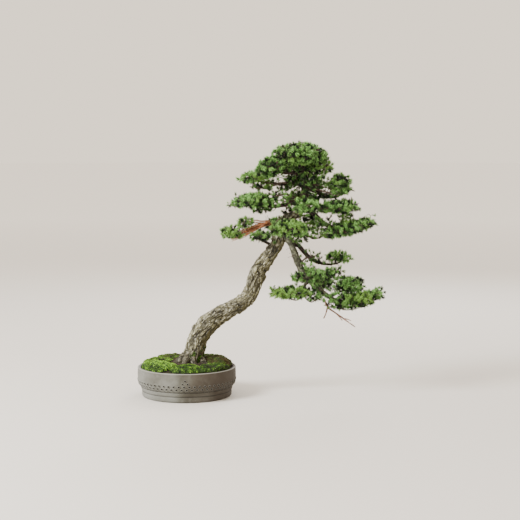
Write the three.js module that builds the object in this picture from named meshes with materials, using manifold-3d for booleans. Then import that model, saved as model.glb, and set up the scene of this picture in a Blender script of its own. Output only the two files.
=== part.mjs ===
// A conifer bonsai in a round drum-shaped stoneware pot.
// The slanting trunk rises out of a mound of moss near the middle of the pot, turns twice, and carries
// its layered foliage to one side, with one limb that falls below the level of the crown.
// Units are millimetres, +Z is up, and the origin is the centre of the pot's flat underside.

import * as THREE from "three";
import { mergeVertices } from "three/addons/utils/BufferGeometryUtils.js";
import Module from "manifold-3d";

// ---- driving dimensions ---------------------------------------------------------------------------

const POT_RADIUS = 150; // at the belly
const POT_HEIGHT = 90;
const FOOT_RADIUS = 137;
const WALL = 10; // thickness at the rim
const FLOOR = 13; // thickness of the pot's floor
const GAP = 0.3; // between pieces that touch
const SLIVER = 0.08; // ridges lower than this are smoothed away after a cut

const DRAIN_HOLE_RADIUS = 12;
const DRAIN_CIRCLE = 78; // three drain holes stand on this radius
const CHANNEL_WIDTH = 12; // drainage channels across the underside
const CHANNEL_DEPTH = 3;
const WIRE_RADIUS = 1.25; // aluminium wire that ties the roots down
const WIRE_HALF_SPAN = 30;
const WIRE_TOP = 82;
const SCREEN_SIDE = 38;
const SCREEN_THICKNESS = 1.5;
const GRIT_TOP = 26;
const SOIL_EDGE = 84; // height of the soil where it meets the pot
const SOIL_CROWN = 104; // height of the soil mound at its middle

const POT_SEGMENTS = 48;
const FILL_SEGMENTS = 24; // soil and grit
const TRUNK_SIDES = 16;
const LIMB_SIDES = 6;

// ---- colours --------------------------------------------------------------------------------------

const material = (color, roughness, metalness = 0) =>
  new THREE.MeshStandardMaterial({ color, roughness, metalness });
const STONEWARE = material(0x85867d, 0.85);
const BARK = material(0x8c8573, 0.95);
const YOUNG_BARK = material(0x5b4a3c, 0.9);
const COPPER_BARK = material(0xa8683a, 0.85);
const NEEDLES = material(0x3f7330, 0.6);
const GREEN_MOSS = material(0x6f9a2c, 0.95);
const SOIL = material(0x4a3c2f, 1.0);
const GRIT = material(0x6b4f42, 1.0);
const SCREEN = material(0x20231f, 0.6);
const WIRE = material(0x8a6f58, 0.4, 1);

// ---- solids ---------------------------------------------------------------------------------------

const wasm = await Module();
wasm.setup();

// A closed three.js geometry as a manifold-3d solid.
function solid(geometry) {
  const bare = geometry.clone();
  bare.deleteAttribute("normal");
  bare.deleteAttribute("uv");
  const merged = mergeVertices(bare, 1e-3);
  return new wasm.Manifold(
    new wasm.Mesh({
      numProp: 3,
      vertProperties: new Float32Array(merged.attributes.position.array),
      triVerts: new Uint32Array(merged.index.array),
    }),
  );
}

// The largest body of a solid that a cut may have left in several.
function largest(shape) {
  return shape.decompose().reduce((a, b) => (a.volume() > b.volume() ? a : b));
}

function touches(a, b) {
  const p = a.boundingBox();
  const q = b.boundingBox();
  return [0, 1, 2].every((k) => p.min[k] < q.max[k] && q.min[k] < p.max[k]);
}

// A shape less every one of the tools that comes near it.
function without(shape, tools) {
  const near = tools.filter((tool) => touches(shape, tool));
  return largest(near.reduce((left, tool) => left.subtract(tool), shape)).simplify(SLIVER);
}

const group = new THREE.Group();

// Adds a solid to the model as a named mesh.
function add(name, shape, look) {
  const { numProp, vertProperties, triVerts } = shape.getMesh();
  const position = new Float32Array((vertProperties.length / numProp) * 3);
  for (let i = 0; i < position.length / 3; i++) {
    position.set(vertProperties.subarray(i * numProp, i * numProp + 3), i * 3);
  }
  const geometry = new THREE.BufferGeometry();
  geometry.setAttribute("position", new THREE.BufferAttribute(position, 3));
  geometry.setIndex(new THREE.BufferAttribute(triVerts, 1));
  geometry.computeVertexNormals();
  const mesh = new THREE.Mesh(geometry, look);
  mesh.name = name;
  group.add(mesh);
}

// A turned shape from [radius, height] points that run from the axis round and back to the axis.
function turned(profile, segments = POT_SEGMENTS) {
  const points = profile.map(([radius, height]) => new THREE.Vector2(radius, height));
  return solid(new THREE.LatheGeometry(points, segments).rotateX(Math.PI / 2));
}

function cylinder(x, y, radius, low, high, sides = 16) {
  const shape = new THREE.CylinderGeometry(radius, radius, high - low, sides);
  return solid(shape.rotateX(Math.PI / 2).translate(x, y, (low + high) / 2));
}

function block(x, y, z, width, depth, height) {
  return solid(new THREE.BoxGeometry(width, depth, height).translate(x, y, z));
}

// A tapering limb: a closed cylinder bent along a curve. Its line holds [x, y, z, radius] stations.
// grow adds to the radius and to both ends, and ripple gives the section its uneven outline.
function limb(line, sides, steps, grow = 0, ripple = 0) {
  const curve = new THREE.CatmullRomCurve3(line.map(([x, y, z]) => new THREE.Vector3(x, y, z)));
  const frames = curve.computeFrenetFrames(steps, false);
  const radii = new THREE.CatmullRomCurve3(
    line.map((station, i) => new THREE.Vector3(i / (line.length - 1), station[3], 0)),
  );
  const geometry = new THREE.CylinderGeometry(1, 1, 1, sides, steps);
  const position = geometry.attributes.position;
  for (let i = 0; i < position.count; i++) {
    const along = THREE.MathUtils.clamp(position.getY(i) + 0.5, 0, 1);
    const step = Math.round(along * steps);
    const across = position.getX(i);
    const round = position.getZ(i);
    const angle = Math.atan2(round, across);
    const uneven = 1 + ripple * (Math.sin(2 * angle + 9 * along) + 0.6 * Math.sin(3 * angle - 17 * along));
    const radius = radii.getPoint(curve.getUtoTmapping(along)).y * uneven + grow;
    const end = step === 0 ? -grow : step === steps ? grow : 0;
    const point = curve
      .getPointAt(along)
      .addScaledVector(frames.binormals[step], across * radius)
      .addScaledVector(frames.normals[step], round * radius)
      .addScaledVector(frames.tangents[step], end);
    position.setXYZ(i, point.x, point.y, point.z);
  }
  return solid(geometry);
}

// A lumpy cushion: a dome of the given half sizes, flatter underneath, tipped about the Y axis.
function cushion({ at, size, tip = 0, under = 0.5, seed = 0 }, grow = 0) {
  const geometry = new THREE.SphereGeometry(1, 12, 8).rotateX(Math.PI / 2);
  const position = geometry.attributes.position;
  for (let i = 0; i < position.count; i++) {
    const v = new THREE.Vector3().fromBufferAttribute(position, i);
    const angle = Math.atan2(v.y, v.x);
    const level = Math.sqrt(Math.max(0, 1 - v.z * v.z));
    const lump = 1 + level * (0.07 * Math.sin(3 * angle + seed) + 0.05 * Math.sin(5 * angle + 2.3 * seed));
    position.setXYZ(
      i,
      v.x * (size[0] * lump + grow),
      v.y * (size[1] * lump + grow),
      v.z * (size[2] * (v.z < 0 ? under : 1) + grow),
    );
  }
  geometry.rotateY(THREE.MathUtils.degToRad(-tip));
  return solid(geometry.translate(...at));
}

// ---- pot ------------------------------------------------------------------------------------------

const GROOVES = [18, 31.5]; // heights of the two turned lines round the foot
const GROOVE_DEPTH = 1.4;

// The outer wall's radius by height: a straight foot, a shoulder and the drum's belly.
const OUTER_WALL = [
  [FOOT_RADIUS - 5, 0],
  [FOOT_RADIUS - 0.5, 3.5],
  [FOOT_RADIUS, GROOVES[0] - 1.4],
  [FOOT_RADIUS + 0.2 - GROOVE_DEPTH, GROOVES[0]],
  [FOOT_RADIUS + 0.6, GROOVES[0] + 1.4],
  [FOOT_RADIUS + 3.2, GROOVES[1] - 1.4],
  [FOOT_RADIUS + 3.6 - GROOVE_DEPTH, GROOVES[1]],
  [FOOT_RADIUS + 4.4, GROOVES[1] + 1.4],
  [144.5, 38],
  [148.2, 47],
  [POT_RADIUS, 58],
  [POT_RADIUS, 72],
  [149.2, 84],
  [148.6, POT_HEIGHT - 1.2],
  [147.4, POT_HEIGHT],
];
const INNER_WALL = [
  [POT_RADIUS - WALL + 1, POT_HEIGHT],
  [POT_RADIUS - WALL - 0.4, POT_HEIGHT - 1.6],
  [POT_RADIUS - WALL - 1, 60],
  [136, 34],
  [131, 20],
  [125, FLOOR],
];

const profileInside = (low, high, gap) => {
  const wall = INNER_WALL.filter(([, z]) => z > low && z < high).map(([r, z]) => [r - gap, z]);
  const radiusAt = (height) => {
    const i = INNER_WALL.findIndex(([, z]) => z <= height);
    const [r0, z0] = INNER_WALL[i - 1];
    const [r1, z1] = INNER_WALL[i];
    return r0 + ((r1 - r0) * (height - z0)) / (z1 - z0) - gap;
  };
  return [[radiusAt(high), high], ...wall, [radiusAt(low), low]].reverse();
};

// One drain hole at the back and two towards the front; the tie wire runs between the front ones.
const drains = [90, 210, 330].map((degrees) => {
  const angle = THREE.MathUtils.degToRad(degrees);
  return [DRAIN_CIRCLE * Math.cos(angle), DRAIN_CIRCLE * Math.sin(angle)];
});
const wireRow = -DRAIN_CIRCLE / 2;

function makePot() {
  const cuts = [
    ...drains.map(([x, y]) => cylinder(x, y, DRAIN_HOLE_RADIUS, -1, FLOOR + 1, 20)),
    ...[-1, 1].map((side) => cylinder(side * WIRE_HALF_SPAN, wireRow, 2.5 * WIRE_RADIUS, -1, FLOOR + 1, 8)),
    block(0, wireRow, 0, 2 * POT_RADIUS, CHANNEL_WIDTH, 2 * CHANNEL_DEPTH),
    block(0, POT_RADIUS / 2 + DRAIN_CIRCLE / 2, 0, CHANNEL_WIDTH, POT_RADIUS, 2 * CHANNEL_DEPTH),
  ];
  const body = turned([[0, 0], ...OUTER_WALL, ...INNER_WALL, [0, FLOOR]]);
  return cuts.reduce((pot, cut) => pot.subtract(cut), body);
}

add("pot", makePot(), STONEWARE);

// ---- what the pot holds ---------------------------------------------------------------------------

const screens = drains.map(([x, y], i) => {
  const z = FLOOR + GAP + SCREEN_THICKNESS / 2;
  add(`drain_screen_${i + 1}`, block(x, y, z, SCREEN_SIDE, SCREEN_SIDE, SCREEN_THICKNESS), SCREEN);
  return block(x, y, z, SCREEN_SIDE + 2 * GAP, SCREEN_SIDE + 2 * GAP, SCREEN_THICKNESS + 2 * GAP);
});

// The tie wire is a staple: it lies in a channel and comes up through two holes among the roots.
function makeWire(grow) {
  const radius = WIRE_RADIUS + grow;
  const bottom = GAP + WIRE_RADIUS;
  const length = 2 * (WIRE_HALF_SPAN + radius);
  const run = new THREE.CylinderGeometry(radius, radius, length, 8).rotateZ(Math.PI / 2);
  return [-WIRE_HALF_SPAN, WIRE_HALF_SPAN].reduce(
    (whole, x) => whole.add(cylinder(x, wireRow, radius, bottom, WIRE_TOP + grow, 8)),
    solid(run.translate(0, wireRow, bottom)),
  );
}
add("root_tie_wire", makeWire(0), WIRE);
const grownWire = makeWire(GAP);

const gritProfile = profileInside(FLOOR + GAP, GRIT_TOP, GAP);
const grit = turned([[0, FLOOR + GAP], ...gritProfile, [0, GRIT_TOP]], FILL_SEGMENTS);
add("drainage_grit", without(grit, [...screens, grownWire]), GRIT);

const soilProfile = (grow) => [
  [0, GRIT_TOP + GAP - grow],
  ...profileInside(GRIT_TOP + GAP, SOIL_EDGE, GAP).map(([r, z]) => [r + grow, z]),
  [126, 88 + grow],
  [100, 95 + grow],
  [60, 101 + grow],
  [0, SOIL_CROWN + grow],
];

// ---- wood -----------------------------------------------------------------------------------------

// The trunk's centre line from under the soil to the tip of the leader.
const TRUNK = [
  [6, 6, 70, 36],
  [15, 2, 104, 31.5],
  [23, 0, 132, 29.5],
  [38, -2, 181, 30],
  [60, -4, 212, 30.5],
  [88, -5, 238, 28],
  [132, -8, 264, 24.5],
  [170, -10, 286, 23.5],
  [198, -10, 316, 23],
  [208, -11, 350, 23],
  [219, -13, 384, 22],
  [240, -16, 414, 20.5],
  [264, -19, 446, 19.5],
  [279, -21, 474, 19.5],
  [276, -22, 500, 17],
  [285, -25, 525, 15],
  [314, -29, 546, 14],
  [343, -33, 566, 13],
  [356, -37, 595, 12.5],
  [358, -43, 628, 11],
  [356, -50, 661, 9.5],
  [349, -58, 697, 7.5],
  [343, -64, 726, 5],
  [341, -66, 746, 3],
];

// Surface roots that spread from the trunk's foot: direction in degrees, reach, and thickness.
const ROOTS = [
  [200, 66, 11],
  [245, 58, 12],
  [285, 52, 10],
  [335, 60, 10],
  [30, 56, 11],
  [100, 60, 12],
  [155, 58, 10],
];

function rootLine([angle, reach, radius]) {
  const a = THREE.MathUtils.degToRad(angle);
  const [x, y] = TRUNK[1];
  const out = (r, z, thick) => [x + r * Math.cos(a), y + r * Math.sin(a), z, thick];
  return [
    out(12, 126, radius), out(32, 108, radius),
    out(reach * 0.75, 99, radius * 0.7), out(reach, 90, radius * 0.4),
  ];
}

function makeTrunk(grow) {
  const stem = limb(TRUNK, TRUNK_SIDES, 44, grow, 0.035);
  return ROOTS.reduce((whole, root) => whole.add(limb(rootLine(root), 6, 5, grow)), stem);
}

// Every limb's centre line, from inside the wood that it grows from to its tip.
const LIMBS = {
  cascade: [
    [288, -22, 490, 10], [300, -23, 482, 9.5], [312, -25, 472, 9.5], [324, -28, 446, 9.5],
    [337, -34, 412, 9.5], [350, -42, 386, 9], [369, -50, 361, 8], [385, -55, 344, 7.2],
    [405, -60, 328, 6.5], [427, -62, 310, 6], [453, -61, 298, 5], [481, -59, 293, 4.2],
    [512, -56, 294, 3.4], [542, -53, 304, 2.6], [569, -51, 319, 1.6],
  ],
  cascade_upper: [
    [350, -40, 388, 5], [362, -34, 370, 4.4], [386, -28, 361, 3.4], [414, -22, 362, 2.4],
    [436, -19, 370, 1.5]
  ],
  cascade_left: [
    [372, -51, 360, 4.6], [354, -66, 342, 4.2], [331, -78, 328, 3.6], [301, -86, 319, 2.8],
    [278, -89, 320, 2], [264, -90, 328, 1.5],
  ],
  cascade_back: [[386, -55, 343, 4.2], [402, -34, 338, 3.4], [416, -4, 336, 2.6], [422, 26, 342, 1.5]],
  cascade_right: [[424, -62, 312, 4.2], [446, -50, 315, 3.6], [474, -38, 326, 2.8], [508, -28, 338, 1.6]],
  small_right: [
    [292, -21, 487, 8], [312, -18, 476, 6.8], [340, -12, 458, 6.2], [355, -8, 442, 6.2], [371, 0, 425, 5.8],
    [392, 6, 409, 5], [414, 11, 402, 4], [438, 14, 399, 3], [460, 16, 403, 2.2], [476, 16, 412, 1.4],
  ],
  right_inner: [
    [296, -27, 534, 7], [316, -24, 532, 6], [338, -18, 525, 5.2], [353, -16, 509, 4.6], [364, -15, 494, 4],
    [378, -15, 484, 3.2], [394, -15, 481, 2.2], [408, -16, 484, 1.4],
  ],
  right_long: [
    [344, -34, 577, 8.5], [364, -36, 572, 7.8], [379, -37, 561, 7.4], [391, -38, 550, 7],
    [403, -40, 539, 6.6],
    [417, -42, 527, 6], [438, -43, 518, 5.2], [466, -44, 513, 4.2], [499, -44, 517, 3.2],
    [529, -43, 527, 2.4],
    [553, -42, 540, 1.5],
  ],
  right_mid: [
    [350, -37, 594, 7], [376, -41, 594, 6.5], [400, -44, 577, 5.5], [447, -48, 567, 4.2],
    [497, -50, 572, 2.6], [514, -50, 582, 1.5]
  ],
  right_upper: [
    [356, -44, 646, 7.5], [368, -44, 636, 7], [386, -43, 626, 6.2], [414, -41, 613, 5.2],
    [438, -39, 606, 4.2],
    [460, -37, 611, 3], [477, -36, 627, 1.6],
  ],
  left_mid: [
    [352, -36, 594, 8], [336, -38, 594, 7.2], [312, -40, 587, 6.4], [277, -44, 580, 5.2],
    [236, -46, 579, 4],
    [194, -47, 583, 2.8], [160, -47, 593, 1.5],
  ],
  left_upper: [
    [358, -44, 636, 7], [342, -46, 645, 6.4], [313, -51, 646, 5.4], [283, -55, 646, 4.6],
    [253, -58, 649, 3.8],
    [224, -60, 654, 2.8], [198, -61, 665, 1.5],
  ],
  crown_left: [
    [354, -54, 678, 6], [333, -60, 680, 5], [307, -66, 679, 4.2], [277, -71, 685, 3],
    [248, -74, 697, 1.6]
  ],
  crown_right: [[354, -54, 674, 5.5], [370, -55, 680, 4.6], [392, -58, 688, 3.4], [412, -60, 700, 1.6]],
  left_low: [
    [278, -22, 517, 7], [260, -23, 523, 5.5], [242, -27, 526, 4.8], [218, -33, 521, 4.4],
    [194, -40, 511, 3.8],
    [170, -46, 501, 3], [146, -50, 493, 2.2], [130, -51, 493, 1.5],
  ],
  left_stub: [
    [276, -20, 462, 6], [258, -22, 462, 5], [244, -28, 469, 4.2], [230, -36, 478, 3.4],
    [214, -42, 484, 2.4], [204, -46, 491, 1.5]
  ],
  front_low: [
    [288, -25, 528, 7], [290, -45, 523, 5.6], [296, -72, 511, 4.6], [304, -100, 508, 3.2],
    [310, -128, 516, 1.6]
  ],
  front_mid: [
    [357, -39, 606, 6], [359, -58, 599, 4.8], [359, -84, 580, 3.8], [357, -108, 576, 2.8],
    [354, -132, 585, 1.5]
  ],
  back_low: [
    [283, -22, 522, 7.5], [284, 2, 520, 6], [288, 36, 512, 5], [294, 74, 510, 3.6],
    [298, 104, 519, 1.6]
  ],
  back_mid: [
    [357, -40, 612, 7], [356, -20, 608, 5.6], [352, 16, 592, 4.6], [350, 52, 588, 3.2],
    [352, 80, 597, 1.6]
  ],
  back_upper: [[352, -54, 678, 5.5], [346, -38, 684, 4.6], [338, -8, 688, 3.4], [334, 18, 700, 1.6]],
};

// A dead, forked twig that hangs from the underside of the falling limb.
const DEAD_TWIG = {
  stem: [
    [412, -62, 304, 3.2], [420, -62, 292, 2.6], [428, -62, 276, 2.2], [442, -61, 266, 1.9],
    [462, -60, 252, 1.6], [486, -60, 234, 1.3], [509, -60, 218, 1]
  ],
  fork: [[426, -62, 280, 2], [423, -63, 266, 1.6], [419, -63, 254, 1.3], [414, -63, 244, 1]],
};

const trunk = makeTrunk(0);
add("trunk", trunk, BARK);

const grownWood = [makeTrunk(GAP)];
for (const [name, line] of Object.entries(LIMBS)) {
  const steps = Math.ceil(1.4 * line.length);
  const bark = name === "left_low" ? COPPER_BARK : YOUNG_BARK;
  add(`branch_${name}`, without(limb(line, LIMB_SIDES, steps), grownWood), bark);
  grownWood.push(limb(line, LIMB_SIDES, steps, GAP));
}

const deadTwig = limb(DEAD_TWIG.stem, 5, 12).add(limb(DEAD_TWIG.fork, 5, 6));
add("dead_twig", without(deadTwig, grownWood), COPPER_BARK);
const grownTwig = limb(DEAD_TWIG.stem, 5, 12, GAP).add(limb(DEAD_TWIG.fork, 5, 6, GAP));

// ---- soil and moss --------------------------------------------------------------------------------

const soil = turned(soilProfile(0), FILL_SEGMENTS);
add("soil", without(soil, [grownWood[0], grownWire]), SOIL);

const MOSS_REACH = POT_RADIUS - WALL - 1.2; // the moss stops at the rim's inner edge
const MOSS_PATCHES = [
  { name: "moss_front_left", at: [-84, -66, 90], size: [62, 52, 21], seed: 1 },
  { name: "moss_front", at: [8, -96, 90], size: [58, 44, 15], seed: 2 },
  { name: "moss_front_right", at: [88, -68, 89], size: [56, 50, 15], seed: 3 },
  { name: "moss_right_mound", at: [90, 12, 92], size: [48, 44, 25], seed: 4 },
  { name: "moss_back_right", at: [62, 86, 89], size: [62, 50, 18], seed: 5 },
  { name: "moss_back_left", at: [-44, 88, 89], size: [62, 50, 20], seed: 6 },
  { name: "moss_left", at: [-86, 14, 89], size: [52, 50, 21], seed: 7 },
];
const bed = turned(soilProfile(GAP), FILL_SEGMENTS);
const potMouth = cylinder(0, 0, MOSS_REACH, SOIL_EDGE + 1, 200, POT_SEGMENTS);
const laidMoss = [];
for (const patch of MOSS_PATCHES) {
  const shape = cushion({ ...patch, under: 1 }).intersect(potMouth);
  add(patch.name, without(shape, [bed, grownWood[0], ...laidMoss]), GREEN_MOSS);
  laidMoss.push(cushion({ ...patch, under: 1 }, GAP));
}

// ---- foliage --------------------------------------------------------------------------------------

const PADS = {
  crown_top: { at: [340, -66, 725], size: [86, 80, 43], under: 0.4 },
  crown_left: { at: [256, -74, 690], size: [52, 60, 36], tip: 24, under: 0.6 },
  crown_right: { at: [398, -58, 702], size: [40, 52, 32], tip: -24, under: 0.6 },
  left_upper: { at: [200, -62, 662], size: [38, 46, 22], tip: 8 },
  right_upper: { at: [462, -38, 638], size: [36, 46, 38], tip: -16, under: 0.7 },
  left_mid: { at: [203, -48, 590], size: [68, 60, 28], tip: 4 },
  right_mid: { at: [460, -50, 573], size: [66, 56, 26], tip: 2 },
  front_mid: { at: [358, -112, 579], size: [38, 40, 25] },
  right_long: { at: [488, -46, 509], size: [84, 60, 28], tip: 14 },
  right_inner: { at: [372, -22, 512], size: [25, 28, 19] },
  front_low: { at: [307, -104, 511], size: [54, 48, 29] },
  left_stub: { at: [226, -46, 487], size: [33, 32, 21] },
  left_low: { at: [136, -50, 500], size: [32, 36, 21], tip: 6 },
  left_low_upper: { at: [178, -47, 526], size: [30, 32, 19], tip: 20 },
  small_right: { at: [462, 16, 418], size: [42, 36, 20], tip: -4 },
  cascade_upper: { at: [380, -24, 362], size: [66, 50, 25] },
  cascade_left: { at: [318, -86, 321], size: [64, 46, 23] },
  cascade_right: { at: [496, -28, 334], size: [44, 42, 24] },
  cascade_tip: { at: [530, -56, 296], size: [72, 50, 26], tip: 16 },
  cascade_back: { at: [418, 20, 332], size: [40, 34, 20] },
  back_low: { at: [292, 76, 514], size: [60, 50, 25] },
  back_mid: { at: [352, 58, 592], size: [52, 46, 25] },
  back_upper: { at: [334, 6, 694], size: [62, 46, 30], tip: 4 },
};

const laidFoliage = [];
Object.entries(PADS).forEach(([name, pad], seed) => {
  const standing = [...grownWood, grownTwig, ...laidFoliage];
  add(`foliage_${name}`, without(cushion({ ...pad, seed }), standing), NEEDLES);
  laidFoliage.push(cushion({ ...pad, seed }, GAP));
});

export default group;
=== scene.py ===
import math
import random

import bmesh
import bpy
from mathutils import Matrix, Vector, noise
from mathutils.bvhtree import BVHTree
from mathutils.kdtree import KDTree


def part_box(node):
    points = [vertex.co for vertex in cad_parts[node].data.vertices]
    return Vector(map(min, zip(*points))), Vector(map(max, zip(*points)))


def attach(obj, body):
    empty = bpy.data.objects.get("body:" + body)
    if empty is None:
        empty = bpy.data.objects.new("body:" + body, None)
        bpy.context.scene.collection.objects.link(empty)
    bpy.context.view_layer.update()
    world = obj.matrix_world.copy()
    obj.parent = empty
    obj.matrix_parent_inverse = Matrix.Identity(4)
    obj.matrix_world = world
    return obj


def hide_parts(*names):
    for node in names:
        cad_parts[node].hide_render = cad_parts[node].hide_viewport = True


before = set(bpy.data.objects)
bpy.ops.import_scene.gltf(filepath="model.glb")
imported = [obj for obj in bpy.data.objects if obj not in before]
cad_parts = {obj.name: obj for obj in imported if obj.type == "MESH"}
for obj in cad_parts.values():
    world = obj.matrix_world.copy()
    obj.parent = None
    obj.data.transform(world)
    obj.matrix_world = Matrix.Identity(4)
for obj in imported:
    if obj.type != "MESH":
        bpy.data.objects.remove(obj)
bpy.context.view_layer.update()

noise.seed_set(5)  # unset, noise_vector would differ from run to run

# A conifer bonsai in a round stoneware pot. Lengths are metres; mm turns a length in millimetres into one.
mm = 0.001
up = Vector((0, 0, 1))


# camera and studio

viewpoint = {"place": (0.2236, -3.9265, 0.7783), "down": 5.3, "lens": 90}

cameraData = bpy.data.cameras.new("camera")
cameraData.lens = viewpoint["lens"]
cameraData.clip_end = 100
camera = bpy.data.objects.new("camera", cameraData)
camera.location = viewpoint["place"]
camera.rotation_euler = (math.radians(90 - viewpoint["down"]), 0, 0)
bpy.context.collection.objects.link(camera)
bpy.context.scene.camera = camera

studio = {
    "aim": (0.25, 0, 0.4), "sky": (1.0, 0.87, 0.71), "skyStrength": 1.6,
    "lights": {  # place, size, power and tint
        "keyLight": ((-2.6, -2.0, 2.6), 1.6, 330, (1, 0.985, 0.96)),
        "fillLight": ((2.6, -2.6, 1.3), 2.6, 6, (1, 0.97, 0.93)),
        "backLight": ((0.9, 2.4, 2.2), 1.8, 60, (0.97, 0.98, 1))},
}

for name, (place, size, power, tint) in studio["lights"].items():
    data = bpy.data.lights.new(name, "AREA")
    data.shape = "DISK"
    data.size = size
    data.energy = power
    data.color = tint
    light = bpy.data.objects.new(name, data)
    light.location = place
    light.rotation_euler = (Vector(studio["aim"]) - Vector(place)).to_track_quat("-Z", "Y").to_euler()
    bpy.context.collection.objects.link(light)

world = bpy.data.worlds.new("studioSky")
world.use_nodes = True
world.node_tree.nodes["Background"].inputs["Color"].default_value = (*studio["sky"], 1)
world.node_tree.nodes["Background"].inputs["Strength"].default_value = studio["skyStrength"]
bpy.context.scene.world = world
print("camera and studio ready")


# node helpers

def addNode(tree, kind, links=None, **settings):
    node = tree.nodes.new(kind)
    for key, value in settings.items():
        setattr(node, key, value)
    for key, value in (links or {}).items():
        if isinstance(value, bpy.types.NodeSocket):
            tree.links.new(value, node.inputs[key])
        else:
            node.inputs[key].default_value = value
    return node


def blendColours(tree, factor, first, second):
    mix = addNode(tree, "ShaderNodeMix", data_type="RGBA")
    for slot, value in zip((0, 6, 7), (factor, first, second)):
        if isinstance(value, bpy.types.NodeSocket):
            tree.links.new(value, mix.inputs[slot])
        else:
            mix.inputs[slot].default_value = value if slot == 0 else (*value, 1)
    return mix.outputs[2]


def ramp(tree, factor, low, high, start=0.0, end=1.0):
    scale = addNode(tree, "ShaderNodeMapRange", {"Value": factor, "From Min": low, "From Max": high,
                                                 "To Min": start, "To Max": end})
    return scale.outputs["Result"]


def maths(tree, operation, *values):
    return addNode(tree, "ShaderNodeMath", dict(enumerate(values)), operation=operation).outputs[0]


def attribute(tree, name):
    return addNode(tree, "ShaderNodeAttribute", attribute_name=name).outputs["Fac"]


def objectCoords(tree):
    return addNode(tree, "ShaderNodeTexCoord").outputs["Object"]


def noiseMask(tree, coords, scale, detail=4.0, roughness=0.6):
    return addNode(tree, "ShaderNodeTexNoise",
                   {"Vector": coords, "Scale": scale, "Detail": detail, "Roughness": roughness}).outputs["Fac"]


def newMaterial(name, roughness=0.8):
    material = bpy.data.materials.new(name)
    material.use_nodes = True
    tree = material.node_tree
    shader = tree.nodes["Principled BSDF"]
    shader.inputs["Roughness"].default_value = roughness
    return material, tree, shader


def bumpInto(tree, shader, height, distance, strength=1.0):
    bump = addNode(tree, "ShaderNodeBump", {"Height": height, "Distance": distance, "Strength": strength})
    tree.links.new(bump.outputs["Normal"], shader.inputs["Normal"])


def shaderGroup(name, inputs, outputs):
    group = bpy.data.node_groups.new(name, "ShaderNodeTree")
    for label, kind, value in inputs:
        socket = group.interface.new_socket(label, in_out="INPUT", socket_type=kind)
        if value is not None:
            socket.default_value = value
    for label, kind in outputs:
        group.interface.new_socket(label, in_out="OUTPUT", socket_type=kind)
    entry = group.nodes.new("NodeGroupInput").outputs
    leave = group.nodes.new("NodeGroupOutput").inputs
    return group, entry, leave


def useGroup(tree, group, links):
    return addNode(tree, "ShaderNodeGroup", links, node_tree=group).outputs


def groundPatches(tree, scale, main, second, third):
    return useGroup(tree, patches, {"Vector": objectCoords(tree), "Scale": scale,
                                    "Main": (*main, 1), "Second": (*second, 1), "Third": (*third, 1)})


# Three tones laid over each other in soft patches: the ground of bark, clay and moss alike.
patches, entry, leave = shaderGroup(
    "patches",
    [("Vector", "NodeSocketVector", None), ("Scale", "NodeSocketFloat", 30.0),
     ("Main", "NodeSocketColor", None), ("Second", "NodeSocketColor", None), ("Third", "NodeSocketColor", None)],
    [("Colour", "NodeSocketColor"), ("Mask", "NodeSocketFloat")])
coarse = noiseMask(patches, entry["Vector"], entry["Scale"], 5, 0.62)
fine = noiseMask(patches, entry["Vector"], maths(patches, "MULTIPLY", entry["Scale"], 3.7), 4, 0.6)
firstMix = blendColours(patches, ramp(patches, coarse, 0.42, 0.62), entry["Main"], entry["Second"])
patches.links.new(blendColours(patches, ramp(patches, fine, 0.52, 0.7), firstMix, entry["Third"]), leave["Colour"])
patches.links.new(coarse, leave["Mask"])

# Small dark and light grains, as in clay, grit and old bark.
specks, entry, leave = shaderGroup(
    "specks", [("Vector", "NodeSocketVector", None), ("Scale", "NodeSocketFloat", 900.0)],
    [("Dark", "NodeSocketFloat"), ("Light", "NodeSocketFloat")])
grains = addNode(specks, "ShaderNodeTexVoronoi", {"Vector": entry["Vector"], "Scale": entry["Scale"]})
chosen = addNode(specks, "ShaderNodeSeparateColor", {"Color": grains.outputs["Color"]}).outputs
near = ramp(specks, grains.outputs["Distance"], 0.42, 0.2)
specks.links.new(maths(specks, "MULTIPLY", near, ramp(specks, chosen["Red"], 0.80, 0.9)), leave["Dark"])
specks.links.new(maths(specks, "MULTIPLY", near, ramp(specks, chosen["Green"], 0.84, 0.92)), leave["Light"])


# mesh helpers

def meshFrom(bm, name, material=None):
    mesh = bpy.data.meshes.new(name)
    bm.to_mesh(mesh)
    bm.free()
    if material:
        mesh.materials.append(material)
    return mesh


def pieceFromMesh(name, mesh, smooth=False):
    mesh.name = name
    mesh.shade_smooth() if smooth else mesh.shade_flat()
    piece = bpy.data.objects.new(name, mesh)
    bpy.context.collection.objects.link(piece)
    return piece


def pieceFrom(bm, name, material, smooth=True):
    return pieceFromMesh(name, meshFrom(bm, name, material), smooth)


def handOver(piece, slotName, *replaced):
    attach(piece, "root")
    if replaced:
        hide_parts(*replaced)


def evaluatedMesh(holder):
    return bpy.data.meshes.new_from_object(holder.evaluated_get(bpy.context.evaluated_depsgraph_get()))


def mergedCopy(nodeName):
    bm = bmesh.new()
    bm.from_mesh(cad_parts[nodeName].data)
    bmesh.ops.remove_doubles(bm, verts=bm.verts, dist=0.01 * mm)
    return bm


def paintAll(mesh, name, value):
    mesh.attributes.new(name, "FLOAT", "POINT").data.foreach_set("value", [value] * len(mesh.vertices))


def smoothStep(value, low, high):
    t = min(1, max(0, (value - low) / (high - low)))
    return t * t * (3 - 2 * t)


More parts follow.
